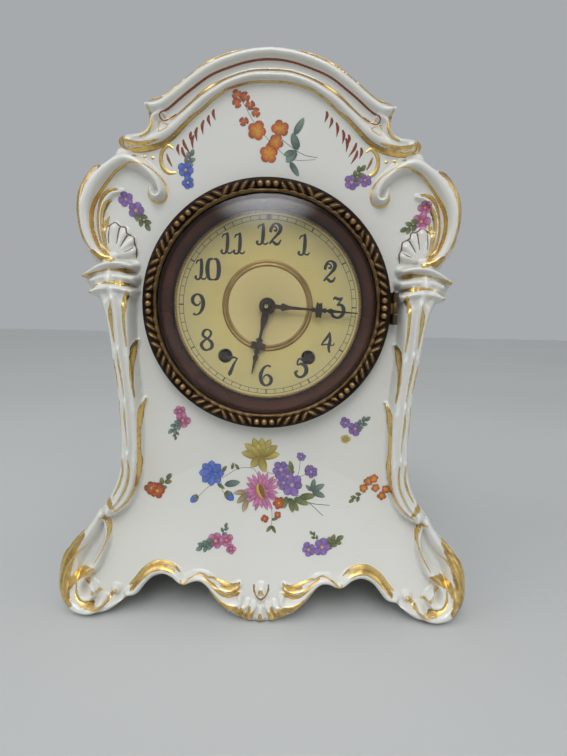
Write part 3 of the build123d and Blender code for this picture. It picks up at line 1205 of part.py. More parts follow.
save(train_wheel(THIRD_AT, THIRD_TEETH, ESCAPE_MODULE, third_tooth, THIRD_FRONT, 5, third_root + PIN_SEAT),
     "third_wheel")
save(train_arbor(THIRD_AT, THIRD_PINION, THIRD_MODULE, third_pinion_at, CENTER_MIDDLE), "third_arbor")
save(escape_wheel(), "escape_wheel")
escape_pinion_at = facing_teeth(ESCAPE_PINION, third_tooth)
save(train_arbor(ESCAPE_AT, ESCAPE_PINION, ESCAPE_MODULE, escape_pinion_at, THIRD_MIDDLE), "escape_arbor")
save(pallets(), "pallets")
save(crutch(), "crutch")
save(back_cock(), "back_cock")
save(regulator_arbor(), "regulator_arbor")
save(suspension_spring(), "suspension_spring")
save(pendulum_rod(), "pendulum_rod")
save(pendulum_bob(), "pendulum_bob")
save(rating_nut(), "rating_nut")

# Strike train
save(pin_wheel(), "pin_wheel")
save(pin_arbor(), "pin_arbor")
warning_pinion_at = facing_teeth(WARNING_PINION, WARNING_ANGLE)
warning_root = WARNING_PINION * WARNING_MODULE / 2 - DEDENDUM * WARNING_MODULE
warning_bore = warning_root + PIN_SEAT
save(train_wheel(WARNING_AT, WARNING_TEETH, FLY_MODULE, FLY_ANGLE, WARNING_FRONT, 4, warning_bore),
     "warning_wheel")
save(train_arbor(WARNING_AT, WARNING_PINION, WARNING_MODULE, warning_pinion_at, SECOND_MIDDLE),
     "warning_arbor")
save(fly(), "fly")
save(count_wheel(), "count_wheel")
save(hammer(), "hammer")
save(gong(), "gong")
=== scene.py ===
"""Looks of a porcelain mantel clock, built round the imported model.

Shapes are worked out in millimetres in the plane of the dial (x to the right, z up)
and a height in front of the case's middle plane, then written to meshes in metres.
"""
import json
import math

import bpy
import numpy as np
from mathutils import Matrix, Vector


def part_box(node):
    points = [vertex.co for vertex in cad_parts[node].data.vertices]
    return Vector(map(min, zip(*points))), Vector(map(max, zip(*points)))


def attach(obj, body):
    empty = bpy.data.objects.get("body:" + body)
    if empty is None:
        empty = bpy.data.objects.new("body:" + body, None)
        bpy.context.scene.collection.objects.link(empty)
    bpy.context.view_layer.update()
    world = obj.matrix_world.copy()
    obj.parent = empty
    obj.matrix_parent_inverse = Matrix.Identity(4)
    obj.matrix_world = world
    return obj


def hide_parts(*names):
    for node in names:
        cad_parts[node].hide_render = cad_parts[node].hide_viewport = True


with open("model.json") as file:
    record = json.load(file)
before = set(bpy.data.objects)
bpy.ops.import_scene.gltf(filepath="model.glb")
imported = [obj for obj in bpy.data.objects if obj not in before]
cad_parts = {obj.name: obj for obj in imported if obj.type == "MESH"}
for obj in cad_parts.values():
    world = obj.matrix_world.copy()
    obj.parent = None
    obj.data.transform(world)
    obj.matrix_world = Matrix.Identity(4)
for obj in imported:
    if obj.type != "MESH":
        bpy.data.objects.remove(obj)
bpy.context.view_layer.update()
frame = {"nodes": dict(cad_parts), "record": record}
MM = 0.001


def node_mm(name):
    """Lowest and highest corner of a node, in millimetres."""
    low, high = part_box(name)
    return np.array(low) / MM, np.array(high) / MM


# Sizes read from the frame
BEZEL_LOW, BEZEL_HIGH = node_mm("bezel")
DIAL_LOW, DIAL_HIGH = node_mm("dial")
GLASS_LOW, GLASS_HIGH = node_mm("bezel_glass")
CENTER_Z = (DIAL_LOW[2] + DIAL_HIGH[2]) / 2
BEZEL_RADIUS = (BEZEL_HIGH[2] - BEZEL_LOW[2]) / 2
DIAL_RADIUS = (DIAL_HIGH[2] - DIAL_LOW[2]) / 2
DIAL_FRONT = -DIAL_LOW[1]
BACK_Y = node_mm("porcelain_case")[1][1]

# Sizes of the case that its box doesn't give
FACE = 46.0               # flat panel in front of the middle plane
APRON_BULGE = 19.5        # how much further forward the foot of the panel stands
APRON_TOP = 92.0
APRON_POWER = 1.45
BOW_RADIUS = 761.0        # curve of the panel from side to side
WALL = 7.0
HOLE_RADIUS = 58.6
BACK_HOLE = 50.0
EDGE_BACK = 33.0          # how far in front of the middle plane the moulded edge ends
BACK_SHRINK = 0.914       # size of the back wall against the body behind the front

GRID = 0.7                # spacing of the grid that carries the relief
LIFT = 0.10               # how far painted lines stand on the glaze


def spline(points, step=0.5, closed=False):
    """Catmull-Rom curve through points, sampled about every step."""
    p = np.array(points, float)
    if closed:
        p = np.vstack([p[-1], p, p[0], p[1]])
    else:
        p = np.vstack([2 * p[0] - p[1], p, 2 * p[-1] - p[-2]])
    out = []
    for a, b, c, d in zip(p[:-3], p[1:-2], p[2:-1], p[3:]):
        count = max(2, int(np.linalg.norm((c - b)[:2]) / step) + 1)
        t = np.linspace(0, 1, count, endpoint=False)[:, None]
        out.append(0.5 * (2 * b + (c - a) * t + (2 * a - 5 * b + 4 * c - d) * t ** 2
                          + (3 * b - a - 3 * c + d) * t ** 3))
    if not closed:
        out.append(p[-2][None])
    return np.vstack(out)


def resample(curve, count):
    """The same curve with evenly spaced points."""
    steps = np.linalg.norm(np.diff(curve[:, :2], axis=0), axis=1)
    length = np.concatenate([[0], np.cumsum(steps)])
    want = np.linspace(0, length[-1], count)
    return np.stack([np.interp(want, length, curve[:, k]) for k in range(curve.shape[1])], 1)


# Right half of the case's front outline, top to bottom, in smooth strokes between corners
OUTLINE = [
    [(0, 301), (10, 300), (20, 297.4), (30, 293.4), (40, 287.5), (50, 279.1), (58, 274.6), (65, 273.5)],
    [(65, 273.5), (63, 270), (61.8, 265), (64, 260), (69, 258), (74, 257.3), (77, 254.5), (77.4, 251)],
    [(77.4, 251), (79.5, 250.5), (82, 246), (85.5, 243.3), (89, 243), (92.5, 241), (95.8, 236),
     (98.7, 231.5),
     (100.8, 226), (101.2, 218), (100.3, 211), (98.8, 204.5), (96.5, 199.5), (93.5, 195), (91.8, 192),
     (91.2, 189.8)],
    [(91.2, 189.8), (94, 187.6), (98.4, 184.6)],
    [(98.4, 184.6), (96.8, 182), (95.6, 179.5), (94.8, 175.6)],
    [(94.8, 175.6), (91.5, 174), (89, 171.5), (87.5, 167.5), (85.5, 161), (83.7, 153.5), (82.8, 145.5)],
    [(82.8, 145.5), (81.6, 140), (80.6, 131), (79.6, 123), (79.2, 117)],
    [(79.2, 117), (79, 108), (78.8, 100), (79, 94), (79.4, 88)],
    [(79.4, 88), (79, 81), (81, 73.5), (84, 67), (87.5, 61), (89.8, 57)],
    [(89.8, 57), (92.5, 55.2), (94, 51.5), (98, 45.5), (101.5, 41), (106, 37), (110, 33), (113, 27),
     (114.6, 20),
     (114.5, 14), (113, 8.5), (110, 4.5), (105, 1.5), (98, 0.1), (92, 0.1)],
    [(92, 0.1), (86, 1), (82, 3.6), (78, 8), (74, 9.6), (70.8, 10.2), (67.5, 13.3), (63.6, 18.4),
     (60, 21.4),
     (55.6, 22.6), (51, 21.6), (46.6, 18.2), (43, 16.7)],
    [(43, 16.7), (39.4, 18.6), (35, 19.5), (30.8, 17.6), (27.2, 13.4), (22, 8), (15.7, 4.2),
     (10.5, 2.2),
     (5.8, 1.1), (0, 0.9)],
]
STROKES = [spline(stroke, 0.4) for stroke in OUTLINE]


def full_loop(half):
    """A right half followed by its mirror image, back up the left side."""
    return np.vstack([half, (half * [-1, 1])[-2:0:-1]])


LOOP = full_loop(np.vstack([stroke[:-1] for stroke in STROKES] + [STROKES[-1][-1:]]))


def swell(x, z):
    """Front of the case before its mouldings: flat above, swelling forward below."""
    low = np.clip((APRON_TOP - z) / APRON_TOP, 0, 1.05)
    forward = FACE + APRON_BULGE * low ** APRON_POWER - x ** 2 / (2 * BOW_RADIUS)
    return np.maximum(forward, FACE)


XS = np.arange(-118.3, 118.4, GRID)
ZS = np.arange(-2.1, 304.2, GRID)
GX, GZ = np.meshgrid(XS, ZS, indexing="ij")


def stamp(field, points, rise, power=0.6, both=True):
    """Raises a rounded ridge along a path, keeping the higher of ridge and field.

    Each path point is x, z and half width. Across the path the ridge is
    rise * (1 - (distance / half width) ** 2) ** power.
    """
    path = spline(points, 0.3)
    paths = [path, path * [-1, 1, 1]] if both else [path]
    for line in paths:
        for x, z, half in line:
            i0, i1 = np.searchsorted(XS, [x - half, x + half])
            k0, k1 = np.searchsorted(ZS, [z - half, z + half])
            square = ((XS[i0:i1, None] - x) ** 2 + (ZS[None, k0:k1] - z) ** 2) / half ** 2
            bump = rise * np.clip(1 - square, 0, 1) ** power
            window = field[i0:i1, k0:k1]
            np.maximum(window, bump, out=window)
    return field


def blur(field, passes):
    """Softens a grid with a small cross-shaped average."""
    for _ in range(passes):
        field = 0.5 * field + 0.125 * (np.roll(field, 1, 0) + np.roll(field, -1, 0)
                                       + np.roll(field, 1, 1) + np.roll(field, -1, 1))
    return field


def edge_distance(reach):
    """Distance from each grid point to the outline, up to a reach."""
    near = np.full(GX.shape, reach)
    for x, z in LOOP[::2]:
        i0, i1 = np.searchsorted(XS, [x - reach, x + reach])
        k0, k1 = np.searchsorted(ZS, [z - reach, z + reach])
        gap = np.hypot(XS[i0:i1, None] - x, ZS[None, k0:k1] - z)
        window = near[i0:i1, k0:k1]
        np.minimum(window, gap, out=window)
    return near


def inside_loop(px, pz, loop):
    """True where points lie inside a closed line, by counting crossings."""
    x0, z0 = loop[:, 0], loop[:, 1]
    x1, z1 = np.roll(x0, -1), np.roll(z0, -1)
    flat_x, flat_z = px.ravel(), pz.ravel()
    found = np.zeros(flat_x.size, bool)
    for start in range(0, flat_x.size, 8000):
        x = flat_x[start:start + 8000, None]
        z = flat_z[start:start + 8000, None]
        spans = (z0 > z) != (z1 > z)
        cross = x < (x1 - x0) * (z - z0) / np.where(z1 == z0, 1e-9, z1 - z0) + x0
        found[start:start + 8000] = np.sum(spans & cross, 1) % 2 == 1
    return found.reshape(px.shape)


# Mouldings of the right half: x, z, half width
CROWN_LIP = [(0, 297.6, 3.4), (10, 296.6, 3.4), (20, 294, 3.4), (30, 289.9, 3.5), (40, 283.2, 3.6),
             (50, 275.3, 3.6), (57, 271, 3.4), (62.5, 270.8, 2.4)]
CROWN_BEAD = [(0, 287, 2.7), (10, 286.4, 2.7), (20, 283.4, 2.7), (28, 279, 2.7), (35, 274.2, 2.8),
              (42, 268, 3.0),
              (49, 261.6, 3.4), (56, 257, 3.6), (63, 254, 3.6), (69, 253.6, 3.3), (74, 254.6, 2.4)]
CROWN_HORN = [(55.5, 268, 2.2), (60, 265.5, 2.2), (61, 260.5, 2.3), (64, 257, 2.4), (70, 255.6, 2.2)]
EAR_SCROLL = [(61.8, 230.8, 1.2), (60.6, 227.2, 1.6), (57.6, 226.4, 1.8), (56.2, 229.4, 2.0),
              (58, 234.4, 2.4),
              (63, 239.6, 2.8), (69, 243.6, 3.2), (75.5, 245, 3.6), (82, 241.8, 3.8),
              (88.3, 236.2, 4.2),
              (93.2, 229.4, 4.4), (96.4, 221.5, 4.2), (96.8, 213, 4.0), (95, 205, 3.8),
              (91.4, 198.6, 3.6),
              (86.4, 195, 3.0), (81.5, 194.6, 2.2)]
EAR_RIM = [(84, 240.8, 2.2), (89.5, 240, 2.6), (93.5, 236.2, 2.8), (97, 230, 3.0), (98.8, 223, 2.8),
           (98.8, 215, 2.6),
           (97.4, 207, 2.2)]
EAR_LEAF = [(77.5, 229, 1.0), (82.5, 227.6, 1.6), (86.5, 223, 1.9), (88.4, 216, 2.1), (88.2, 209, 2.0),
            (86.4, 203, 1.8), (83.5, 198.6, 1.4)]
SHELL_ROOT = (81.5, 195.5)
SHELL_TIPS = [(86.3, 208.4), (81.0, 210.2), (76.0, 207.6), (72.8, 203.2), (71.8, 198.2)]
CAPITAL = [
    [(70.6, 190.2, 1.8), (77, 191.4, 2.2), (84, 191, 2.4), (90.4, 188.4, 2.5), (96.6, 184.8, 1.6)],
    [(70.6, 183.6, 2.6), (78, 184.6, 3.0), (86, 184.2, 3.2), (92, 182.4, 2.6)],
    [(71.2, 176.8, 2.2), (78, 178.4, 2.6), (86, 178.4, 2.8), (92.8, 176.4, 1.8)],
]
PILLAR = [(82.8, 181, 10.5), (80.5, 174, 9.6), (78.9, 165, 8.2), (78.3, 154, 7.4), (77.6, 145, 6.8),
          (76, 132, 6.6),
          (74.8, 120, 6.5), (73.9, 108, 6.4), (73.6, 96, 6.2), (74.2, 84, 6.2), (76.4, 72, 6.8),
          (80.4, 63, 7.0),
          (86, 56.6, 5.0)]
PILLAR_LEAVES = [
    [(72.2, 176, 1.4), (74.4, 170, 1.8), (75, 160, 1.8), (74.4, 150, 1.4)],
    [(70.2, 150.5, 1.4), (72.2, 144, 1.9), (72.2, 134, 1.9), (71.2, 122, 1.4)],
    [(66.4, 118.6, 1.3), (68.9, 112, 1.9), (69.2, 101, 1.9), (69.4, 88, 1.6), (70.2, 76, 1.6),
     (73.4, 66, 1.6),
     (78.6, 59.6, 1.5)],
]
FOOT_LEAF = [(90.5, 54, 2.8), (96, 45, 4.4), (101.5, 38.5, 5.4), (106.2, 31, 6.2), (108, 22, 6.2),
             (107.4, 13, 5.8),
             (103, 6.4, 5.0), (97, 4.0, 3.6), (91, 4.6, 2.8), (87, 8, 2.2)]
FOOT_SCROLL = [(88, 49.4, 1.4), (87, 41, 1.6), (89.4, 33, 2.2), (93, 26, 2.8), (98.2, 21.6, 3.2),
               (101, 15.4, 3.0), (99.4, 9.8, 2.4), (94.6, 9.2, 2.0), (92.4, 13, 1.8), (94.8, 15.6, 1.4)]
FOOT_BEAD = [(80.6, 13.6, 2.4), (80.8, 13.4, 2.4)]
FOOT_CRADLE = [(77, 8.6, 1.6), (82.6, 6.0, 2.2), (88, 3.6, 2.2), (95, 2.6, 2.0)]
ARCH_ROLL = [(74, 12.2, 2.0), (70, 13.8, 2.8), (66.6, 18, 3.2), (62, 23, 3.4), (55.6, 25.6, 3.4),
             (49, 24, 3.2),
             (44.6, 20.6, 2.6), (42, 19.6, 1.8)]
APRON_ROLL = [(42.4, 19.4, 1.8), (37, 22.2, 2.6), (31.5, 21.8, 2.8), (26.6, 17.8, 3.0), (22, 12.6, 3.2),
              (16, 9.4, 3.2), (11.5, 10.4, 2.4), (11.5, 13.4, 1.8)]
APRON_LEAF = [(29, 20.6, 1.2), (22.6, 17.4, 2.2), (17, 16.4, 2.4), (12.6, 18.4, 1.6)]
CARTOUCHE = [(0, 17.6, 2.6), (0.4, 14.6, 3.2), (0, 12.4, 2.2)]
SHELL_DROP = [[(0, 9, 1.6), (0, 3.2, 2.6)], [(3.4, 9.4, 1.4), (6.2, 3.8, 2.4)],
              [(7, 10, 1.4), (12, 5.6, 2.4)],
              [(12.5, 9, 1.2), (17.2, 7, 1.8)]]


def relief_grid():
    """Front of the case on the grid: the swelling body and every moulding on it."""
    body = swell(GX, GZ)
    mould = np.zeros(GX.shape)
    crown = np.array(CROWN_BEAD)
    order = np.argsort(crown[:, 0])
    crown_line = np.interp(np.abs(GX), crown[order, 0], crown[order, 1])
    terrace = np.clip((GZ - crown_line + 1.5) / 3.0, 0, 1) * (np.abs(GX) < 76) * (GZ > 245)
    mould = np.maximum(mould, 2.0 * blur(terrace, 3))
    for line, rise in ((CROWN_LIP, 6.6), (CROWN_BEAD, 4.6), (CROWN_HORN, 5.2), (EAR_SCROLL, 6.0),
                       (EAR_RIM, 4.2), (EAR_LEAF, 2.4)):
        stamp(mould, line, rise)
    for tip_x, tip_z in SHELL_TIPS:
        half_way = ((SHELL_ROOT[0] + tip_x) / 2, (SHELL_ROOT[1] + tip_z) / 2, 1.9)
        stamp(mould, [(*SHELL_ROOT, 1.2), half_way, (tip_x, tip_z, 2.7)], 2.6)
    shaft = np.zeros(GX.shape)
    stamp(shaft, PILLAR, 9.0, 0.5)
    mould = np.maximum(mould, shaft * (1 + 0.16 * pillar_flutes()))
    for line in PILLAR_LEAVES:
        leaf = np.zeros(GX.shape)
        stamp(leaf, line, 2.4)
        mould = np.maximum(mould, leaf + 0.55 * shaft)
    for line, rise in zip(CAPITAL, (9.8, 8.6, 10.4)):
        stamp(mould, line, rise)
    stamp(mould, FOOT_LEAF, 8.6)
    ribs = 0.5 + 0.5 * np.cos((np.abs(GX) * 0.9 + GZ * 0.45) * 1.05)
    outer_leaf = np.zeros(GX.shape)
    stamp(outer_leaf, FOOT_LEAF[:6], 1.0)
    mould += outer_leaf * ribs * 0.9
    for line, rise in ((FOOT_SCROLL, 6.4), (FOOT_BEAD, 5.0), (FOOT_CRADLE, 4.6), (ARCH_ROLL, 3.8),
                       (APRON_ROLL, 4.2), (APRON_LEAF, 3.8), (CARTOUCHE, 3.6)):
        stamp(mould, line, rise)
    for line in SHELL_DROP:
        stamp(mould, line, 3.6)
    return body, blur(mould, 2)


def pillar_flutes():
    """Ribs across a pillar and the pointed leaves that overlap down it."""
    middle = np.array(PILLAR)
    order = np.argsort(middle[:, 1])
    center = np.interp(GZ, middle[order, 1], middle[order, 0])
    width = np.interp(GZ, middle[order, 1], middle[order, 2])
    across = (np.abs(GX) - center) / width
    ribs = np.cos(across * 3.0 * math.pi)
    joints = np.zeros(GX.shape)
    for top in (172.0, 145.5, 117.0, 88.0):
        tip = top + 3.0 - 8.0 * np.abs(across - 0.1)
        below = np.clip((tip - GZ) / 27.0, 0, 1)
        joints += np.where((below > 0) & (below < 1), (1 - below) ** 3, 0)
    return 0.8 * ribs + joints


BODY_GRID, MOULD_GRID = relief_grid()
EDGE_GRID = edge_distance(6.0)
ROUND = 2.2               # rounding of the outer edge
EDGE_DROP = ROUND - np.sqrt(np.clip(ROUND ** 2 - np.clip(ROUND - EDGE_GRID, 0, ROUND) ** 2, 0, None))
HEIGHT_GRID = BODY_GRID + MOULD_GRID - EDGE_DROP


def sample(field, x, z):
    """Bilinear reading of a grid at any points."""
    u = np.clip((np.asarray(x, float) - XS[0]) / GRID, 0, len(XS) - 1.001)
    v = np.clip((np.asarray(z, float) - ZS[0]) / GRID, 0, len(ZS) - 1.001)
    i, k = u.astype(int), v.astype(int)
    a, b = u - i, v - k
    return ((1 - a) * (1 - b) * field[i, k] + a * (1 - b) * field[i + 1, k]
            + (1 - a) * b * field[i, k + 1] + a * b * field[i + 1, k + 1])


def front_height(x, z):
    """How far the glazed front stands before the case's middle plane."""
    return sample(HEIGHT_GRID, x, z)


def dial_height(x, z):
    """The flat front of the dial."""
    return np.full(np.shape(x), DIAL_FRONT)


def add_value(mesh, name, values):
    """One number for each point, which a material reads by its name."""
    layer = mesh.attributes.new(name, "FLOAT", "POINT")
    layer.data.foreach_set("value", np.asarray(values, float))


def make_object(name, points, faces, body, node, slot, material, colour=None, gilt=None, normals=None):
    """Writes arrays in millimetres to a mesh object that rides on a body."""
    mesh = bpy.data.meshes.new(name)
    points = np.asarray(points, float) * MM
    faces = np.asarray(faces, int)
    mesh.vertices.add(len(points))
    mesh.vertices.foreach_set("co", points.ravel())
    corners = faces.shape[1]
    mesh.loops.add(faces.size)
    mesh.loops.foreach_set("vertex_index", faces.ravel())
    mesh.polygons.add(len(faces))
    mesh.polygons.foreach_set("loop_start", np.arange(len(faces)) * corners)
    mesh.update(calc_edges=True)
    mesh.polygons.foreach_set("use_smooth", np.full(len(faces), True))
    if colour is not None:
        layer = mesh.attributes.new("paint", "FLOAT_COLOR", "POINT")
        rgba = np.ones((len(points), 4))
        rgba[:, :3] = colour
        layer.data.foreach_set("color", rgba.ravel())
    if gilt is not None:
        add_value(mesh, "gilt", gilt)
    if normals is not None:
        mesh.normals_split_custom_set_from_vertices([tuple(n) for n in normals])
    mesh.validate()
    piece = bpy.data.objects.new(name, mesh)
    bpy.context.scene.collection.objects.link(piece)
    mesh.materials.append(material)
    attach(piece, body)
    if node:
        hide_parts(node)
    return piece


def grid_faces(rows, columns, close_rows=False, close_columns=False, flip=False):
    """Quads of a grid whose points are stored row by row."""
    i = np.arange(rows if close_rows else rows - 1)
    k = np.arange(columns if close_columns else columns - 1)
    a, b = np.meshgrid(i, k, indexing="ij")
    a2, b2 = (a + 1) % rows, (b + 1) % columns
    quads = np.stack([a * columns + b, a2 * columns + b, a2 * columns + b2, a * columns + b2], -1)
    quads = quads.reshape(-1, 4)
    return quads[:, ::-1] if flip else quads


class Parts:
    """Collects grids of points into one mesh."""

    def __init__(self):
        self.points, self.faces, self.colours, self.count = [], [], [], 0

    def add(self, points, faces, colour=None):
        """Adds points and the faces between them, in one colour or one colour each."""
        points = np.asarray(points, float).reshape(-1, 3)
        self.points.append(points)
        self.faces.append(np.asarray(faces) + self.count)
        if colour is not None:
            rows = np.asarray(colour, float).reshape(-1, 3)
            self.colours.append(np.broadcast_to(rows, points.shape))
        self.count += len(points)

    def build(self, name, body, node, slot, material, **rest):
        """Writes everything that was added to one mesh object."""
        colour = np.vstack(self.colours) if self.colours else None
        make_object(name, np.vstack(self.points), np.vstack(self.faces), body, node, slot, material,
                    colour=colour, **rest)


def ribbon(parts, points, height, lift=LIFT, colour=None, crown=0.05, step=0.6, across=5):
    """A painted line: a strip along x, z, half-width points, laid on a height function.

    The strip stands lift above the surface and is crowned by a half circle of the
    given rise, and its edges go down into the surface.
    """
    path = spline(points, step)
    run = np.gradient(path[:, :2], axis=0)
    run /= np.linalg.norm(run, axis=1)[:, None] + 1e-9
    side = np.stack([run[:, 1], -run[:, 0]], 1)
    s = np.linspace(-1, 1, across)
    x = path[:, None, 0] + side[:, None, 0] * s * path[:, None, 2]
    z = path[:, None, 1] + side[:, None, 1] * s * path[:, None, 2]
    y = height(x, z) + lift + crown * (1 - s ** 2)
    y[:, [0, -1]] -= lift + 0.05
    grid = np.stack([x, -y, z], -1)
    if np.ndim(colour) == 2:
        colour = np.tile(colour, (len(path), 1))
    parts.add(grid, grid_faces(len(path), across, flip=True), colour)


def mirrored(points):
    """A stroke and its mirror image, joined into one where it starts on the middle line."""
    image = [(-x, z, w) for x, z, w in reversed(points)]
    if points[0][0] == 0:
        return [image[:-1] + points]
    return [points, image]


def paint_both(parts, line, colour):
    """A line painted on the right of the front and its mirror image on the left."""
    for half in mirrored(line):
        ribbon(parts, half, front_height, colour=colour)


def plug(tree, socket, value):
    """Links a wire to a socket, or sets the socket's own value."""
    if isinstance(value, Wire):
        tree.links.new(value.socket, socket)
    else:
        socket.default_value = value


class Wire:
    """A shader value that takes part in ordinary arithmetic."""

    def __init__(self, tree, socket):
        self.tree, self.socket = tree, socket

    def _math(self, operation, first, second):
        node = self.tree.nodes.new("ShaderNodeMath")
        node.operation = operation
        for socket, value in zip(node.inputs, (first, second)):
            plug(self.tree, socket, value)
        return Wire(self.tree, node.outputs[0])

    def __add__(self, other):
        return self._math("ADD", self, other)

    def __sub__(self, other):
        return self._math("SUBTRACT", self, other)

    def __rsub__(self, other):
        return self._math("SUBTRACT", other, self)

    def __mul__(self, other):
        return self._math("MULTIPLY", self, other)

    __radd__ = __add__


class Finish:
    """A material: a Principled shader and the nodes that vary it."""

    def __init__(self, name, **settings):
        self.material = bpy.data.materials.new(name)
        self.material.use_nodes = True
        self.tree = self.material.node_tree
        self.shader = self.tree.nodes["Principled BSDF"]
        for socket, value in settings.items():
            label = socket.replace("_", " ").title().replace("Ior", "IOR")
            self.shader.inputs[label].default_value = value

    def node(self, kind, inputs=None, output=0, **settings):
        """A node of a type with its settings, then its socket values or links."""
        node = self.tree.nodes.new("ShaderNode" + kind)
        for key, value in settings.items():
            setattr(node, key, value)
        for key, value in (inputs or {}).items():
            plug(self.tree, node.inputs[key], value)
        return Wire(self.tree, node.outputs[output])

    def value(self, name):
        """The number that each point carries under a name."""
        return self.node("Attribute", attribute_name=name, output=2)

    def paint(self):
        """The colour that each point carries."""
        return self.node("Attribute", attribute_name="paint", output=0)

    def place(self):
        """Place in the object's own coordinates."""
        return self.node("TexCoord", output=3)

    def from_center(self):
        """Distance in metres from the middle of the dial."""
        where = self.node("Mapping", {"Vector": self.place(), "Location": (0, 0, -CENTER_Z * MM)})
        return self.node("VectorMath", {0: where}, output=1, operation="LENGTH")

    def noise(self, scale, detail=3.0, rough=0.5, stretch=None):
        """Noise in the object's own coordinates, scale in waves per metre."""
        where = self.place()
        if stretch:
            where = self.node("Mapping", {"Vector": where, "Scale": stretch})
        return self.node("TexNoise", {"Vector": where, "Scale": scale, "Detail": detail,
                                      "Roughness": rough})

    def ramp(self, value, low, high):
        """0 below low, 1 above high."""
        return self.node("MapRange", {"Value": value, "From Min": low, "From Max": high})

    def mix(self, factor, first, second):
        """A colour between two colours."""
        node = self.tree.nodes.new("ShaderNodeMix")
        node.data_type = "RGBA"
        for place, value in ((0, factor), (6, first), (7, second)):
            plug(self.tree, node.inputs[place], (*value, 1) if isinstance(value, tuple) else value)
        return Wire(self.tree, node.outputs[2])

    def feed(self, socket, value):
        """Links a value to an input of the Principled shader."""
        self.tree.links.new(value.socket, self.shader.inputs[socket])

    def bump(self, height, distance, strength):
        """Fine unevenness of the surface, distance in metres."""
        inputs = {"Height": height, "Distance": distance, "Strength": strength}
        self.feed("Normal", self.node("Bump", inputs))


WHITE = (0.74, 0.73, 0.68)
CREAM = (0.62, 0.60, 0.53)
GOLD = (0.82, 0.58, 0.20)
OLD_GOLD = (0.40, 0.235, 0.07)


def gold_colour(finish):
    """Gilding that runs from bright to brown."""
    return finish.mix(finish.ramp(finish.noise(150.0, 5.0, 0.6), 0.36, 0.60), OLD_GOLD, GOLD)


def porcelain_finish():
    """White glaze, gilt where the gilt value is high, with a rosy wash on the flanks."""
    finish = Finish("glazed_porcelain", roughness=0.11, coat_weight=0.35, coat_roughness=0.04,
                    ior=1.5)
    patches = finish.ramp(finish.noise(9.0, 2.0), 0.3, 0.75)
    glaze = finish.mix(patches, CREAM, WHITE)
    glaze = finish.mix(0.55, glaze, WHITE)
    specks = finish.ramp(finish.noise(900.0, 2.0, 0.7), 0.735, 0.78)
    glaze = finish.mix(specks * 0.5, glaze, (0.20, 0.15, 0.10))
    wash = finish.value("wash")
    thin_wash = finish.ramp(wash + (finish.noise(24.0, 4.0, 0.6) * 1.2 - 0.6), 0.25, 0.85)
    glaze = finish.mix(thin_wash * 0.7, glaze, (0.50, 0.24, 0.34))
    gilt = finish.value("gilt")
    streak = finish.noise(420.0, 5.0, 0.65, (1.0, 1.0, 0.35))
    worn = finish.ramp(gilt + (streak * 1.3 - 0.65), 0.42, 0.66)
    finish.feed("Base Color", finish.mix(worn, glaze, gold_colour(finish)))
    finish.feed("Metallic", worn * 0.9)
    finish.feed("Roughness", 0.12 + worn * 0.2)
    finish.bump(finish.noise(70.0, 2.0) + finish.noise(500.0, 2.0) * 0.15 * worn, 0.0006, 0.35)
    return finish.material


def gilding_finish():
    """Painted gold lines: bright in the middle, brown at their edges and where thin."""
    finish = Finish("gilding", roughness=0.26)
    laid = finish.paint()
    thin = finish.ramp(finish.noise(150.0, 5.0, 0.6), 0.50, 0.66)
    finish.feed("Base Color", finish.mix(thin * 0.75, laid, OLD_GOLD))
    finish.feed("Metallic", 0.9 - thin * 0.5)
    finish.feed("Roughness", 0.2 + finish.noise(500.0) * 0.2)
    finish.bump(finish.noise(900.0, 3.0), 0.0002, 0.3)
    return finish.material


def paint_finish(name, roughness=0.22, fade=0.22):
    """Enamel colours from the paint attribute, thin in places as brush work is."""
    finish = Finish(name, roughness=roughness, coat_weight=0.3)
    colour = finish.paint()
    thin = finish.ramp(finish.noise(1400.0, 3.0), 0.35, 0.8)
    finish.feed("Base Color", finish.mix(thin * fade, colour, WHITE))
    finish.bump(finish.noise(1500.0), 0.0001, 0.3)
    return finish.material


PORCELAIN = porcelain_finish()
GILDING = gilding_finish()
ENAMEL = paint_finish("enamel_colours", fade=0.12)


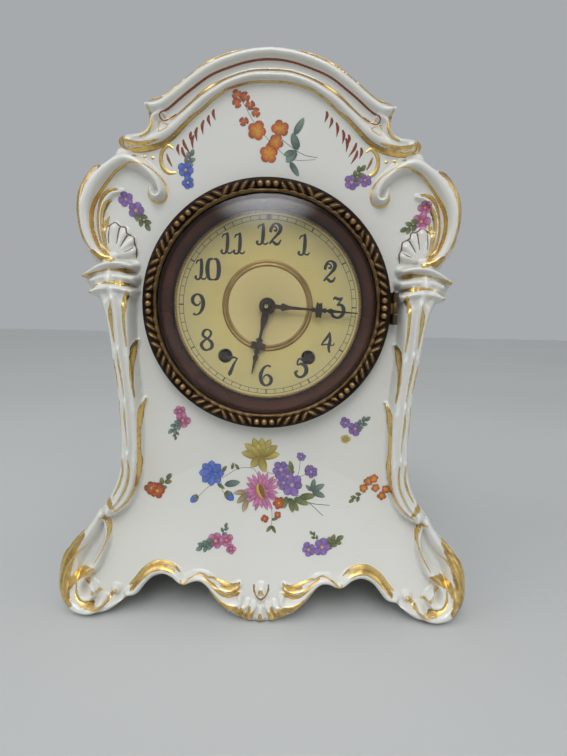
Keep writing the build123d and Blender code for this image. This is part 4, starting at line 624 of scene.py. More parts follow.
def case_front():
    """Grid over the front, cut to the outline and the bezel's hole, edges moved onto them."""
    mid_x, mid_z = np.meshgrid((XS[:-1] + XS[1:]) / 2, (ZS[:-1] + ZS[1:]) / 2, indexing="ij")
    keep = inside_loop(mid_x, mid_z, LOOP[::3])
    keep &= np.hypot(mid_x, mid_z - CENTER_Z) > HOLE_RADIUS
    i, k = np.nonzero(keep)
    columns = GX.shape[1]
    corner = i * columns + k
    quads = np.stack([corner, corner + columns, corner + columns + 1, corner + 1], -1)
    used, index = np.unique(quads, return_inverse=True)
    quads = index.reshape(quads.shape)
    x, z = GX.ravel()[used], GZ.ravel()[used]
    uses = np.bincount(quads.ravel(), minlength=len(used))
    rim = np.nonzero(uses < 4)[0]
    for start in range(0, len(rim), 500):
        part = rim[start:start + 500]
        gap = np.hypot(x[part, None] - LOOP[None, :, 0], z[part, None] - LOOP[None, :, 1])
        best = gap.argmin(1)
        near = gap.min(1) < 1.5
        x[part[near]] = LOOP[best[near], 0]
        z[part[near]] = LOOP[best[near], 1]
    angle = np.arctan2(z[rim] - CENTER_Z, x[rim])
    at_hole = np.abs(np.hypot(x[rim], z[rim] - CENTER_Z) - HOLE_RADIUS) < 2
    hole = rim[at_hole]
    x[hole] = HOLE_RADIUS * np.cos(angle[at_hole])
    z[hole] = CENTER_Z + HOLE_RADIUS * np.sin(angle[at_hole])
    y = front_height(x, z)
    slope_x, slope_z = np.gradient(HEIGHT_GRID, GRID)
    normal = np.stack([-sample(slope_x, x, z), -np.ones(len(x)), -sample(slope_z, x, z)], 1)
    normal /= np.linalg.norm(normal, axis=1)[:, None]
    piece = make_object("case_front", np.stack([x, -y, z], 1), quads, "case", "porcelain_case",
                        "porcelain",
                        PORCELAIN, gilt=gilt_mask(x, z), normals=normal)
    add_value(piece.data, "wash", np.zeros(len(x)))


def stroke_mask(x, z, points):
    """1 near a path and 0 beyond its half width, with a soft edge."""
    path = spline(points, 0.8)
    best = np.full(x.shape, 9.0)
    ax = np.abs(x)
    for px, pz, half in path:
        best = np.minimum(best, np.hypot(ax - px, z - pz) - half)
    return np.clip(0.5 - best / 1.2, 0, 1)


# Areas gilded with a broad brush: path, strength
GILT_AREAS = [
    ([(88, 241, 1.6), (93.6, 237.4, 2.2), (98, 230, 2.4), (100.6, 221, 2.2), (99.8, 211, 1.8),
      (96.6, 203, 1.2)], 0.66),
    ([(84.4, 196.4, 0.8), (88, 194.8, 2.2), (92, 197.4, 1.2)], 0.9),
    ([(99, 43, 1.2), (103.4, 38, 2.8), (107.6, 31.6, 4.4), (110, 23.6, 4.8), (109.6, 14.6, 4.6),
      (106, 7.4, 3.0)], 0.74),
    ([(93.5, 24.4, 1.2), (98, 23.0, 2.2), (103, 20, 2.2), (105.6, 15, 1.2)], 0.95),
    ([(80.7, 13.6, 1.4), (80.9, 13.2, 1.4)], 0.8),
    ([(71.6, 14.6, 1.0), (67.6, 19.6, 1.4), (62.4, 24.8, 1.5), (55.6, 27.2, 1.5), (49, 25.4, 1.2)],
     0.95),
    ([(44.6, 18.4, 1.2), (43, 18.2, 1.6), (41, 18.4, 1.0)], 0.85),
    ([(24.6, 13.4, 0.8), (19.6, 9.6, 1.6), (14, 7.6, 2.4)], 0.85),
    ([(22, 18.4, 0.8), (16, 16.6, 1.4), (12, 18.6, 0.8)], 0.8),
    ([(3.6, 6.4, 0.8), (6.4, 3.6, 2.0), (5.8, 8, 0.8)], 0.85),
    ([(9.4, 8.6, 0.8), (12, 5, 2.2), (8.8, 3.4, 1.6)], 0.85),
    ([(0, 5.4, 1.0), (0, 2.6, 1.6)], 0.8),
    ([(0, 17, 1.6), (0.2, 15.6, 1.8)], 0.55),
    ([(62.5, 270, 1.0), (64, 272.4, 1.0)], 0.5),
    ([(75.4, 255, 1.2), (76.4, 252, 1.0)], 0.9),
    ([(96.6, 184.8, 1.2), (98, 184.4, 1.2)], 0.8),
    ([(92.6, 176.2, 0.9), (94.4, 175.6, 0.9)], 0.75),
    ([(82, 57.6, 0.6), (85, 61.6, 1.8), (86.4, 66, 1.0)], 0.9),
]


def gilt_mask(x, z):
    """How thickly the front is gilded at each point."""
    mask = np.zeros(x.shape)
    reach = 6.0
    for points, strength in GILT_AREAS:
        line = np.array(points)
        near = ((np.abs(x) > line[:, 0].min() - reach) & (np.abs(x) < line[:, 0].max() + reach)
                & (z > line[:, 1].min() - reach) & (z < line[:, 1].max() + reach))
        mask[near] = np.maximum(mask[near], strength * stroke_mask(x[near], z[near], points))
    return mask


# Body behind the front, matched stroke by stroke with the front outline
BODY_MATCH = [
    (range(0, 1), [(0, 294.6), (10, 293.8), (25, 289), (45, 277), (62, 264)]),
    (range(1, 3), [(62, 264), (80, 246), (91, 231), (94, 218), (90, 200), (86, 190)]),
    (range(3, 6), [(86, 190), (80, 176), (77, 160), (76, 145)]),
    (range(6, 9), [(76, 145), (74, 122), (74, 100), (76, 82), (86, 62)]),
    (range(9, 10), [(86, 62), (98, 45), (108, 27), (108, 12), (103, 0.2), (93, 0.2)]),
    (range(10, 11), [(93, 0.2), (80, 6), (68, 18), (52, 23), (43, 23)]),
    (range(11, 12), [(43, 23), (24, 20), (0, 19)]),
]


def matched_outlines(spacing=1.1):
    """Front and body outlines of the right half with the same number of points."""
    front, body = [], []
    for strokes, target in BODY_MATCH:
        line = np.vstack([STROKES[k] for k in strokes])
        length = np.linalg.norm(np.diff(line, axis=0), axis=1).sum()
        count = int(length / spacing)
        keep = slice(0, -1) if strokes[-1] < 11 else slice(None)
        front.append(resample(line, count)[keep])
        body.append(resample(spline(target, 0.5), count)[keep])
    return np.vstack(front), np.vstack(body)


# Depth and size of the body's outline, from behind the front to the back wall
SIDE_ROWS = [(-18, 0.992), (-6, 0.987), (6, 0.98), (18, 0.972), (30, 0.962), (40, 0.952), (46, 0.945),
             (50, 0.937), (53, 0.926), (BACK_Y - 0.3, 0.9155), (BACK_Y, BACK_SHRINK)]


def case_sides():
    """Edge of the front, side walls and back wall, as one surface round the clock.

    Each row is the whole outline at one depth. Rows run from the front edge back
    along the side, over the back edge to the door's hole, and forward inside.
    """
    front_half, body_half = matched_outlines()
    front, body = full_loop(front_half), full_loop(body_half)
    edge = front_height(front[:, 0], front[:, 1])
    rows = [(front, -edge)]
    for share in (0.25, 0.6, 1.0):
        rows.append((front, -edge + (edge - EDGE_BACK) * share))
    for share, depth in ((0.15, -32.0), (0.5, -30.6)):
        rows.append(((1 - share) * front + share * body, np.full(len(front), depth)))
    rows.append((body, np.full(len(front), -28.0)))
    for depth, size in SIDE_ROWS:
        rows.append((body * size, np.full(len(front), float(depth))))
    angle = np.unwrap(np.arctan2(body[:, 1] - CENTER_Z, body[:, 0]))
    angle = np.minimum.accumulate(angle) - np.linspace(0, 0.02, len(angle))
    circle = np.stack([np.cos(angle), np.sin(angle)], 1)
    back_edge = body * BACK_SHRINK
    ring = circle * BACK_HOLE + [0, CENTER_Z]
    for share in (0.02, 0.3, 0.65, 1.0):
        rows.append((back_edge * (1 - share) + ring * share, np.full(len(front), BACK_Y)))
    rows.append((ring, np.full(len(front), BACK_Y - WALL)))
    points = np.concatenate([np.column_stack([line[:, 0], y, line[:, 1]]) for line, y in rows])
    faces = grid_faces(len(rows), len(front), close_columns=True)
    piece = make_object("case_sides", points, faces, "case", "porcelain_case", "porcelain", PORCELAIN,
                        gilt=np.zeros(len(points)))
    x, y, z = points.T
    flank = np.clip((np.abs(x) - 60) / 18, 0, 1)
    flank *= np.clip((78 - z) / 26, 0, 1) * np.clip((z - 12) / 16, 0, 1)
    along = np.clip((y + 30) / 8, 0, 1) * np.clip((44 - y) / 20, 0, 1)
    add_value(piece.data, "wash", flank * along)


def case_lining():
    """Inside of the front wall: the plain swelling front moved back by the wall."""
    step = 4.0
    x, z = np.meshgrid(np.arange(-96, 97, step), np.arange(12, 282, step), indexing="ij")
    mid_x, mid_z = x[:-1, :-1] + step / 2, z[:-1, :-1] + step / 2
    keep = inside_loop(mid_x, mid_z, LOOP[::4] * [0.92, 0.955] + [0, 10.0])
    keep &= np.hypot(mid_x, mid_z - CENTER_Z) > HOLE_RADIUS + 1
    i, k = np.nonzero(keep)
    columns = x.shape[1]
    corner = i * columns + k
    quads = np.stack([corner, corner + 1, corner + columns + 1, corner + columns], -1)
    y = swell(x, z) - WALL
    points = np.stack([x, -y, z], -1).reshape(-1, 3)
    piece = make_object("case_lining", points, quads, "case", "porcelain_case", "porcelain", PORCELAIN,
                        gilt=np.zeros(len(points)))
    add_value(piece.data, "wash", np.zeros(len(points)))


RUST = (0.21, 0.026, 0.008)
BROWN_GOLD = (0.24, 0.10, 0.02)
SHELL_BROWN = (0.16, 0.075, 0.04)
CROWN_RUST = [(0, 294.4, 0.42), (10, 293.4, 0.42), (20, 290.6, 0.42), (30, 286.4, 0.42),
              (40, 279.4, 0.45),
              (50, 271.4, 0.45), (55.6, 267.4, 0.4), (56, 265.2, 0.35), (53.4, 264.4, 0.35),
              (48, 267.6, 0.3)]
CROWN_GOLD = [(0, 289.6, 0.7), (10, 288.9, 0.75), (20, 285.9, 0.85), (30, 281.4, 0.9),
              (35.6, 277.4, 0.95),
              (40, 273.4, 0.9), (45, 269.2, 0.7), (50, 265.4, 0.5), (53, 265.4, 0.4), (55, 267.4, 0.3)]
CROWN_INNER = [(0, 284.4, 0.38), (10, 283.8, 0.38), (20, 281, 0.4), (25, 278.2, 0.4), (30, 274.8, 0.45),
               (35, 270.4, 0.55), (40, 266.4, 0.7), (45, 261.6, 0.85), (50, 256.8, 1.0),
               (55, 253.4, 1.2),
               (60, 251.4, 1.4), (65, 250.4, 1.4), (70, 249.8, 1.1), (73.4, 251.4, 0.5)]
FLAMES = [((29, 271), (28.6, 266.6)), ((31.6, 268), (31, 263.6)), ((34.2, 265.6), (34.8, 259.8)),
          ((37.6, 262), (38, 256.4)), ((40.8, 259.8), (40.4, 255)), ((39.4, 258), (40, 252.4)),
          ((45, 255.8), (42, 250)), ((47.4, 253.4), (47.2, 249)), ((45.6, 252), (43.2, 246.4))]
SIDE_SCROLL = [(50.2, 251.2, 0.6), (52.8, 252.6, 1.0), (55.8, 249.8, 1.2), (56.6, 245.5, 1.2),
               (55.4, 241.4, 1.3),
               (52.4, 239, 1.2), (48.8, 239.2, 0.6)]
SIDE_STROKE = [(53.6, 248.6, 0.3), (52.6, 245.6, 0.8), (50.8, 242.2, 0.3)]
CROWN_RIM = [(14, 299.6, 0.25), (24, 296.6, 0.4), (34, 291.8, 0.5), (44, 284.4, 0.5), (54, 276.9, 0.4),
             (62, 274.3, 0.25)]
HORN_LINE = [(62.6, 271, 0.4), (61.4, 267, 0.8), (60.6, 262, 1.0), (62.4, 258, 0.9), (66.4, 255.6, 0.6)]
HORN_GOLD = [(57, 254.8, 0.4), (62, 253.2, 1.0), (67, 252.4, 1.3), (72, 253.0, 1.2), (75.6, 255.4, 0.8)]
HORN_CURL = [(76.6, 257, 0.4), (77.6, 254.4, 0.9), (76, 251.6, 1.0), (72.6, 250.6, 0.6)]
PANEL = [(56.2, 264.4, 0.35), (51.9, 261.4, 0.35), (56.4, 258.6, 0.35), (57.4, 261.6, 0.3),
         (56.4, 264.2, 0.3)]
EAR_GOLD = [(62, 231.9, 0.5), (63.2, 228, 0.6), (61.3, 225, 0.6), (57.6, 223.6, 0.6),
            (54.4, 225.2, 0.55),
            (53.4, 229.8, 0.5), (55.2, 234.6, 0.5), (60, 239.4, 0.45), (66, 242.4, 0.4),
            (72, 242.8, 0.4),
            (77.6, 240.6, 0.45), (82, 236.8, 0.5), (87, 230.4, 0.65), (91.2, 223.6, 0.75),
            (93, 217.4, 0.75),
            (92.8, 210.2, 0.7), (91, 204, 0.7), (88.6, 199.4, 0.6), (84.8, 196.4, 0.5)]
EAR_OUTER = [(95.6, 232.8, 0.4), (98, 226, 0.6), (98.6, 218, 0.6), (97.8, 210, 0.55), (95.4, 203, 0.5),
             (92.4, 198, 0.4)]
EAR_FRONDS = [
    [(79.3, 230, 0.7), (83.5, 229.4, 1.5), (87.2, 226, 1.5), (89.4, 219, 1.1), (90, 211, 0.9),
     (89, 204, 0.7),
     (86.4, 198.6, 0.6), (83, 195.4, 0.4)],
    [(82.7, 224.6, 0.5), (85.6, 222.4, 1.3), (87.4, 217, 1.1), (87.6, 209, 0.7), (86.4, 202, 0.5),
     (84, 198, 0.3)],
    [(84.1, 216.4, 0.4), (85.6, 213, 1.1), (86, 207, 0.8), (85.2, 201, 0.4)],
    [(80.2, 192.6, 0.8), (82.4, 193.6, 1.5), (85.4, 194.6, 1.0)],
]
SHELL_EDGE = [(87.6, 210.2, 0.35), (84, 211.6, 0.5), (81, 213.2, 0.45), (78.4, 211.2, 0.45),
              (75.6, 210.6, 0.5),
              (74.4, 207.4, 0.4), (71.2, 205.6, 0.45), (70.6, 201.6, 0.4), (69.6, 199, 0.45),
              (70.2, 194.8, 0.3)]
SHELL_RIBS = [[(84, 211, 0.3), (84.2, 205, 0.3), (84, 202, 0.2)],
              [(78.6, 210.6, 0.4), (79.4, 206, 0.35), (80, 202, 0.2)],
              [(74.4, 206.6, 0.4), (76.6, 203, 0.35), (78, 200.6, 0.2)],
              [(71.4, 200.2, 0.4), (74, 198.6, 0.35), (76, 198, 0.2)]]
CAPITAL_LINES = [
    [(70.8, 187.4, 0.3), (74.6, 187.8, 1.2), (79, 188.2, 0.8), (88, 187.4, 0.3), (96, 184, 0.4)],
    [(71.4, 180.2, 0.4), (76, 181, 1.3), (80.4, 181.6, 1.0), (87, 181, 0.4), (92, 179, 0.25)],
    [(84, 188.2, 0.2), (90, 186.8, 0.3), (96.6, 184.6, 0.7)],
]
PILLAR_LINES = [
    [(72.4, 177.4, 1.0), (74.4, 172.6, 1.5), (75.0, 164.6, 1.1), (74.8, 156, 0.8), (74, 148, 0.4)],
    [(69.8, 151.4, 0.9), (71.6, 145.6, 1.5), (71.9, 136, 1.1), (71.4, 128, 0.8), (70.4, 120.6, 0.4)],
    [(65.6, 119.4, 0.6), (67.9, 113.6, 1.3), (68.6, 104, 1.1), (68.8, 92, 0.8), (68.9, 82, 1.0),
     (70.6, 72, 0.8),
     (74, 64.4, 0.7), (79.4, 58.4, 0.6), (83.4, 56.2, 0.3)],
    [(81.4, 172, 0.4), (82.2, 166, 1.3), (81.6, 159, 0.9), (80.6, 150, 0.35)],
    [(78.2, 144.6, 0.3), (77.9, 139, 0.9), (76.6, 131, 0.7), (75.4, 122, 0.3)],
    [(81.2, 141, 0.5), (80.2, 134, 0.7), (79, 126, 0.3)],
    [(75, 115, 0.4), (75.4, 109, 0.9), (74.6, 101, 0.5), (74, 94, 0.25)],
    [(73.6, 86.8, 0.3), (73.6, 79, 0.5), (75.4, 70.6, 0.5), (79.6, 63, 0.3)],
    [(77.4, 87, 0.3), (77.2, 79, 0.7), (79.4, 71.6, 0.7), (82.6, 65.6, 0.3)],
    [(78.2, 118.6, 0.3), (78.4, 110, 0.4), (77.8, 102, 0.25)],
]
FOOT_LINES = [
    [(91, 52.6, 0.4), (88.2, 51.4, 1.1), (86, 46.6, 0.8), (86.4, 41, 0.5), (89, 34.4, 0.45),
     (93, 27.4, 0.3)],
    [(99, 45.2, 0.5), (104.4, 38.4, 1.0), (108.6, 31, 1.3), (111, 23, 1.2), (111, 15, 0.7)],
    [(97, 37, 0.4), (102, 33.6, 0.7), (106.6, 27, 0.9), (108.6, 20, 0.7), (108, 13, 0.3)],
    [(102.4, 17.4, 0.5), (101.4, 11, 1.1), (97.4, 7, 1.4), (90.4, 5.8, 1.4), (84.6, 8.6, 1.2),
     (82, 13, 0.7)],
    [(97.4, 19.4, 0.5), (96.4, 15.6, 1.1), (93.4, 12.6, 1.2), (88.4, 12.4, 0.6)],
    [(93.4, 19.4, 0.4), (97.6, 21.4, 0.7), (101.6, 19.4, 0.5)],
]
SKIRT_LINES = [
    [(73.4, 16, 0.5), (69.6, 19.2, 1.2), (65.6, 24, 1.3), (60, 28, 1.2), (54.6, 29, 1.0),
     (48.6, 27.4, 0.7),
     (44.8, 24.4, 0.3)],
    [(44.4, 21.2, 0.4), (42.6, 19.6, 0.7), (38.6, 22.8, 0.35), (33.4, 24.6, 0.3), (28, 22.4, 0.3)],
    [(32, 24, 0.3), (26.6, 19.6, 0.9), (21, 15.4, 1.3), (15.6, 14, 1.4), (11.6, 15.6, 0.6)],
    [(28.6, 23, 0.3), (21.4, 19.8, 0.9), (16, 18.4, 1.1), (11.6, 20, 0.5)],
    [(33.6, 21.4, 0.3), (28, 17, 0.6), (23, 12.6, 0.7), (17, 9.8, 0.5)],
    [(4, 19.2, 0.4), (3.6, 15.6, 0.6), (0, 13.2, 0.7), (-3.6, 15.6, 0.6), (-4, 19.2, 0.4)],
]


GOLD_EDGE = (0.13, 0.065, 0.02)
GOLD_ACROSS = np.array([GOLD_EDGE, GOLD, GOLD, GOLD, GOLD_EDGE])      # colours across a gilt line


def line_work():
    """All the gilt and rust lines painted on the front."""
    gold = Parts()
    gold_lines = [CROWN_GOLD, CROWN_INNER, CROWN_RIM, HORN_LINE, HORN_GOLD, HORN_CURL, PANEL, EAR_GOLD,
                  EAR_OUTER, SIDE_SCROLL]
    gold_lines += EAR_FRONDS + CAPITAL_LINES + PILLAR_LINES + FOOT_LINES + SKIRT_LINES
    for x, z in ((65.2, 247), (60.9, 246.4), (69.7, 246.6)):
        gold_lines.append([(x - 0.9, z, 0.5), (x, z, 1.1), (x + 0.9, z, 0.5)])
    for line in gold_lines:
        paint_both(gold, line, GOLD_ACROSS)
    gold.build("gilt_lines", "case", "porcelain_case", "porcelain", GILDING)
    paint = Parts()
    paint_both(paint, CROWN_RUST, RUST)
    for top, foot in FLAMES:
        tail = (foot[0] + 0.2 * (foot[0] - top[0]) - 0.3, foot[1] + 0.25 * (foot[1] - top[1]))
        middle = ((top[0] + foot[0]) / 2 + 0.6, (top[1] + foot[1]) / 2, 0.95)
        paint_both(paint, [(*top, 0.5), middle, (*tail, 0.12)], RUST)
    paint_both(paint, SIDE_STROKE, BROWN_GOLD)
    for line in [SHELL_EDGE] + SHELL_RIBS:
        paint_both(paint, line, SHELL_BROWN)
    paint.build("rust_lines", "case", "porcelain_case", "porcelain", ENAMEL)


rng = np.random.default_rng(7)
STAGGER = 0.0016          # how much higher each petal stands than the last
PETAL_LEVELS = 41
DISC_LEVELS = 23


def petal(parts, x, z, angle, length, width, root, tip, notch=0.0, swell_at=0.85,
          lift=LIFT + 0.04):
    """One painted petal or leaf.

    Along its length u its half width is width * sin(pi * u ** swell_at) ** 0.6, and its
    colour runs from root to tip and is darker along both edges. Each petal stands a
    little above the last one, so that no two lie in one plane.
    """
    lift = lift + STAGGER * (len(parts.points) % PETAL_LEVELS)
    u = np.linspace(0, 1, 8)
    v = np.linspace(-1, 1, 5)
    half = width * (0.05 + np.clip(np.sin(math.pi * u ** swell_at), 0, 1) ** 0.6)
    along = u * length
    grid_u = along[:, None] * (1 - notch * (1 - np.abs(v)) * u[:, None] ** 3)
    grid_v = half[:, None] * v
    cos, sin = math.cos(angle), math.sin(angle)
    px = x + grid_u * cos - grid_v * sin
    pz = z + grid_u * sin + grid_v * cos
    y = front_height(px, pz) + lift
    blend = (u[:, None] ** 1.2 * np.ones_like(v))[..., None]
    edge = (1.12 - 0.5 * np.abs(v) ** 3)[None, :, None]
    colour = (np.array(root) * (1 - blend) + np.array(tip) * blend) * edge * rng.uniform(0.8, 1.15)
    parts.add(np.stack([px, -y, pz], -1), grid_faces(len(u), len(v)), colour.reshape(-1, 3))


def disc(parts, x, z, radius, colour):
    """A round dab of colour."""
    r = np.array([0.02, 0.6, 1.0]) * radius
    t = np.linspace(0, 2 * math.pi, 12, endpoint=False)
    px = x + r[:, None] * np.cos(t)
    pz = z + r[:, None] * np.sin(t)
    y = front_height(px, pz) + (LIFT + 0.2) + STAGGER * (len(parts.points) % DISC_LEVELS)
    parts.add(np.stack([px, -y, pz], -1), grid_faces(len(r), len(t), close_columns=True), colour)


PINK = ((0.26, 0.015, 0.12), (0.56, 0.20, 0.36))
VIOLET = ((0.17, 0.08, 0.30), (0.22, 0.13, 0.36))
BLUE = ((0.03, 0.07, 0.34), (0.09, 0.15, 0.46))
ORANGE = ((0.62, 0.26, 0.02), (0.38, 0.026, 0.006))
RED = ((0.48, 0.12, 0.015), (0.30, 0.014, 0.004))
YELLOW = ((0.24, 0.16, 0.01), (0.50, 0.42, 0.09))
GREEN = ((0.05, 0.07, 0.02), (0.20, 0.21, 0.06))
GREY_GREEN = ((0.05, 0.09, 0.075), (0.20, 0.27, 0.22))
TAN = ((0.20, 0.14, 0.07), (0.42, 0.33, 0.20))
YOLK = (0.55, 0.36, 0.04)


def blossom(parts, x, z, radius, colours, petals=5, turn=0.0, heart=YOLK):
    """A round flower of overlapping petals about a heart."""
    for k in range(petals):
        angle = turn + 2 * math.pi * k / petals + rng.uniform(-0.12, 0.12)
        reach = radius * rng.uniform(0.88, 1.08)
        width = reach * math.sin(math.pi / petals) * 0.7
        petal(parts, x, z, angle, reach, width, *colours, notch=0.22, swell_at=1.5)
    disc(parts, x, z, radius * 0.17, heart)


def aster(parts, x, z, radius, colours):
    """A many-rayed ragged flower with an inner ring of shorter rays and a long heart."""
    for ring, (count, share) in enumerate(((21, 1.0), (17, 0.72), (11, 0.45))):
        for k in range(count):
            angle = 2 * math.pi * (k + 0.5 * ring) / count + rng.uniform(-0.09, 0.09)
            reach = radius * share * rng.uniform(0.84, 1.08)
            petal(parts, x, z, angle, reach, radius * 0.1, *colours, notch=0.15, swell_at=1.3,
                  lift=LIFT + 0.04 + 0.03 * ring)
    for shift, width, colour in ((0.0, 2.4, YOLK), (0.6, 1.3, (0.20, 0.07, 0.02))):
        petal(parts, x - 1.6 + shift, z + 4.4, -1.25, 9.0, width, colour, colour,
              lift=LIFT + 0.17 + 0.02 * shift)


def leaf_spray(parts, x, z, angle, length, colours=GREEN, leaves=5):
    """A stem with pointed leaves on both sides."""
    cos, sin = math.cos(angle), math.sin(angle)
    line = [(x, z, 0.18), (x + 0.5 * length * cos, z + 0.5 * length * sin, 0.2),
            (x + length * cos, z + length * sin, 0.12)]
    ribbon(parts, line, front_height, 0.04, colours[0], 0.03, across=3)
    for k in range(leaves):
        share = (k + 1) / leaves
        side = 0.0 if k == leaves - 1 else (0.75 if k % 2 else -0.75)
        petal(parts, x + share * 0.8 * length * cos, z + share * 0.8 * length * sin, angle + side,
              length * 0.42, length * 0.12, *colours)


def bud(parts, x, z, angle, length, colours):
    """A closed bud in its green cup."""
    petal(parts, x, z, angle, length, length * 0.34, *colours, lift=LIFT + 0.07)
    for lean in (0.5, -0.5):
        petal(parts, x, z, angle + lean, length * 0.5, length * 0.16, *GREEN, lift=LIFT + 0.09)


def stem(parts, points, colour=GREEN[0], width=0.22):
    """A thin painted stem."""
    ribbon(parts, [(px, pz, width) for px, pz in points], front_height, 0.04, colour, 0.03, across=3)


def crown_spray(parts):
    """Orange spray under the crown with its sprig of leaves."""
    stem(parts, [(-16.4, 278), (-13, 273), (-9, 266), (-4, 260), (2, 254), (8, 249), (14, 246.6),
                 (24, 247)])
    for k, (x, z) in enumerate(((-17.4, 278.4), (-17.2, 274.4), (-13.0, 277.2), (-10.3, 273.2),
                                (-7.4, 269.6),
                                (-13.7, 265.2))):
        blossom(parts, x, z, 2.6, RED, 3, 0.9 * k, (0.5, 0.26, 0.03))
    for k, (x, z, size) in enumerate(((-6.6, 260.6, 5.2), (5.4, 262, 4.6), (3.4, 255.4, 4.2),
                                      (-0.2, 249.6, 5.2))):
        blossom(parts, x, z, size, ORANGE, 5, 0.5 * k, (0.50, 0.32, 0.03))
    stem(parts, [(6, 257), (10, 254), (14.5, 251), (19, 249), (25, 248)], GREY_GREEN[0], 0.3)
    for x, z, angle, length, width in ((14.6, 251.6, 1.9, 9.0, 2.1), (12.6, 259, 1.05, 10, 1.7),
                                       (14.0, 251.4, 4.0, 8.0, 2.2), (10.8, 245.6, 5.3, 8.5, 1.5),
                                       (13.0, 251, 3.5, 6, 1.5)):
        petal(parts, x, z, angle, length, width, *GREY_GREEN)


def lotus(parts, x, z, size, colours):
    """A flower seen from below: upright petals in two rows and two that hang down."""
    for angle, share in ((0.15, 0.95), (0.6, 1.0), (1.05, 1.0), (1.5, 0.95), (1.95, 1.0), (2.45, 1.0),
                         (2.95, 0.95),
                         (4.0, 0.7), (5.0, 0.8)):
        petal(parts, x, z, angle, size * share, size * 0.2, *colours)
    for angle in (0.8, 1.3, 1.8, 2.3):
        petal(parts, x, z, angle, size * 0.62, size * 0.17, *colours, lift=LIFT + 0.1)


def peony(parts, x, z, size, colours):
    """A full flower: three rings of petals, each smaller and turned."""
    for ring, share in enumerate((1.0, 0.74, 0.48)):
        for k in range(8 - ring):
            angle = 2 * math.pi * (k + 0.4 * ring) / (8 - ring)
            petal(parts, x, z, angle, size * share, size * share * 0.36, *colours,
                  lift=LIFT + 0.04 + 0.05 * ring)


def bouquet(parts):
    """Main bouquet under the dial."""
    stem(parts, [(-2, 74), (-6, 80.6), (-14, 80.6), (-22, 76), (-26, 74)])
    stem(parts, [(-25, 74), (-32, 69), (-37, 64)])
    stem(parts, [(-24, 73), (-23, 68), (-20, 65.6)])
    stem(parts, [(-2, 92), (-1.6, 84), (2, 79), (8, 78)])
    stem(parts, [(8, 70), (18, 67), (26, 62), (33.4, 55.6)], width=0.3)
    stem(parts, [(18, 66), (26, 62.4), (37, 61.2)], width=0.3)
    stem(parts, [(15, 72), (19, 78), (20.4, 88)])
    stem(parts, [(18, 76), (23, 78), (27, 80)])
    stem(parts, [(4, 62), (5, 56), (4.6, 49)])
    lotus(parts, -2.2, 87.6, 11.5, YELLOW)
    peony(parts, -29.4, 77.6, 7.2, BLUE)
    bud(parts, -36.8, 65, 3.9, 5.6, BLUE)
    bud(parts, -21.4, 67.6, 5.5, 6.6, BLUE)
    for x, z, angle, length, colours in ((-22, 71.4, 0.2, 9, GREY_GREEN), (-9, 67, 3.9, 8, TAN),
                                         (-9, 64, 4.4, 7.6, TAN),
                                         (-10, 68, 3.3, 7, TAN), (-24, 78, 0.9, 5, GREEN),
                                         (-26, 72, -0.6, 5, GREEN),
                                         (-18, 80, 1.4, 4, GREEN), (-14, 80, 2.2, 4, GREEN),
                                         (14, 65, 5.4, 9, GREEN), (15, 65, 4.9, 8, GREEN),
                                         (17, 65, 5.9, 9, GREEN),
                                         (20, 65.6, 0.1, 9, GREEN), (13, 66, 4.5, 7, GREEN),
                                         (27, 69, 0.5, 8, GREY_GREEN), (27, 69, -0.4, 8, GREY_GREEN),
                                         (27, 69, 1.4, 7, GREY_GREEN), (27, 69, 2.4, 5, GREY_GREEN),
                                         (16, 80, 1.9, 6, GREEN), (17, 79, 2.6, 5, GREEN),
                                         (23, 79, 1.2, 5, GREEN),
                                         (5, 50, 5.2, 4.6, GREEN), (5, 50, 4.0, 4.6, GREEN),
                                         (4.8, 53, 0.3, 4, GREEN)):
        petal(parts, x, z, angle, length, length * 0.2, *colours)
    for x, z, size, turn in ((9.4, 80.6, 5.6, 0.2), (13.2, 77, 4.0, 0.7), (15.8, 72.2, 6.4, 0.9),
                             (11, 73.4, 4.4, 0.1),
                             (26.2, 79.6, 4.0, 0.5), (20.4, 88, 2.8, 0.1)):
        blossom(parts, x, z, size, VIOLET, 6, turn, (0.40, 0.36, 0.30))
    aster(parts, -1.4, 68.4, 11.0, PINK)
    blossom(parts, 8.8, 62.2, 3.6, RED, 6, 0.1)
    blossom(parts, 1, 53.6, 2.2, RED, 4, 0.3)
    blossom(parts, 8.2, 55.8, 2.2, RED, 4, 0.8)


def sprig(parts, x, z, colours, size, leaf_angle, leaf_colours, spread, leaves=5):
    """A scattered sprig: two blossoms, one beside the other, and a spray of leaves."""
    for k in range(2):
        blossom(parts, x + spread[0] * k, z + spread[1] * k, size * (1 - 0.18 * k), colours,
                turn=0.7 * k)
    leaf_spray(parts, x, z, leaf_angle, size * 2.1, leaf_colours, leaves)


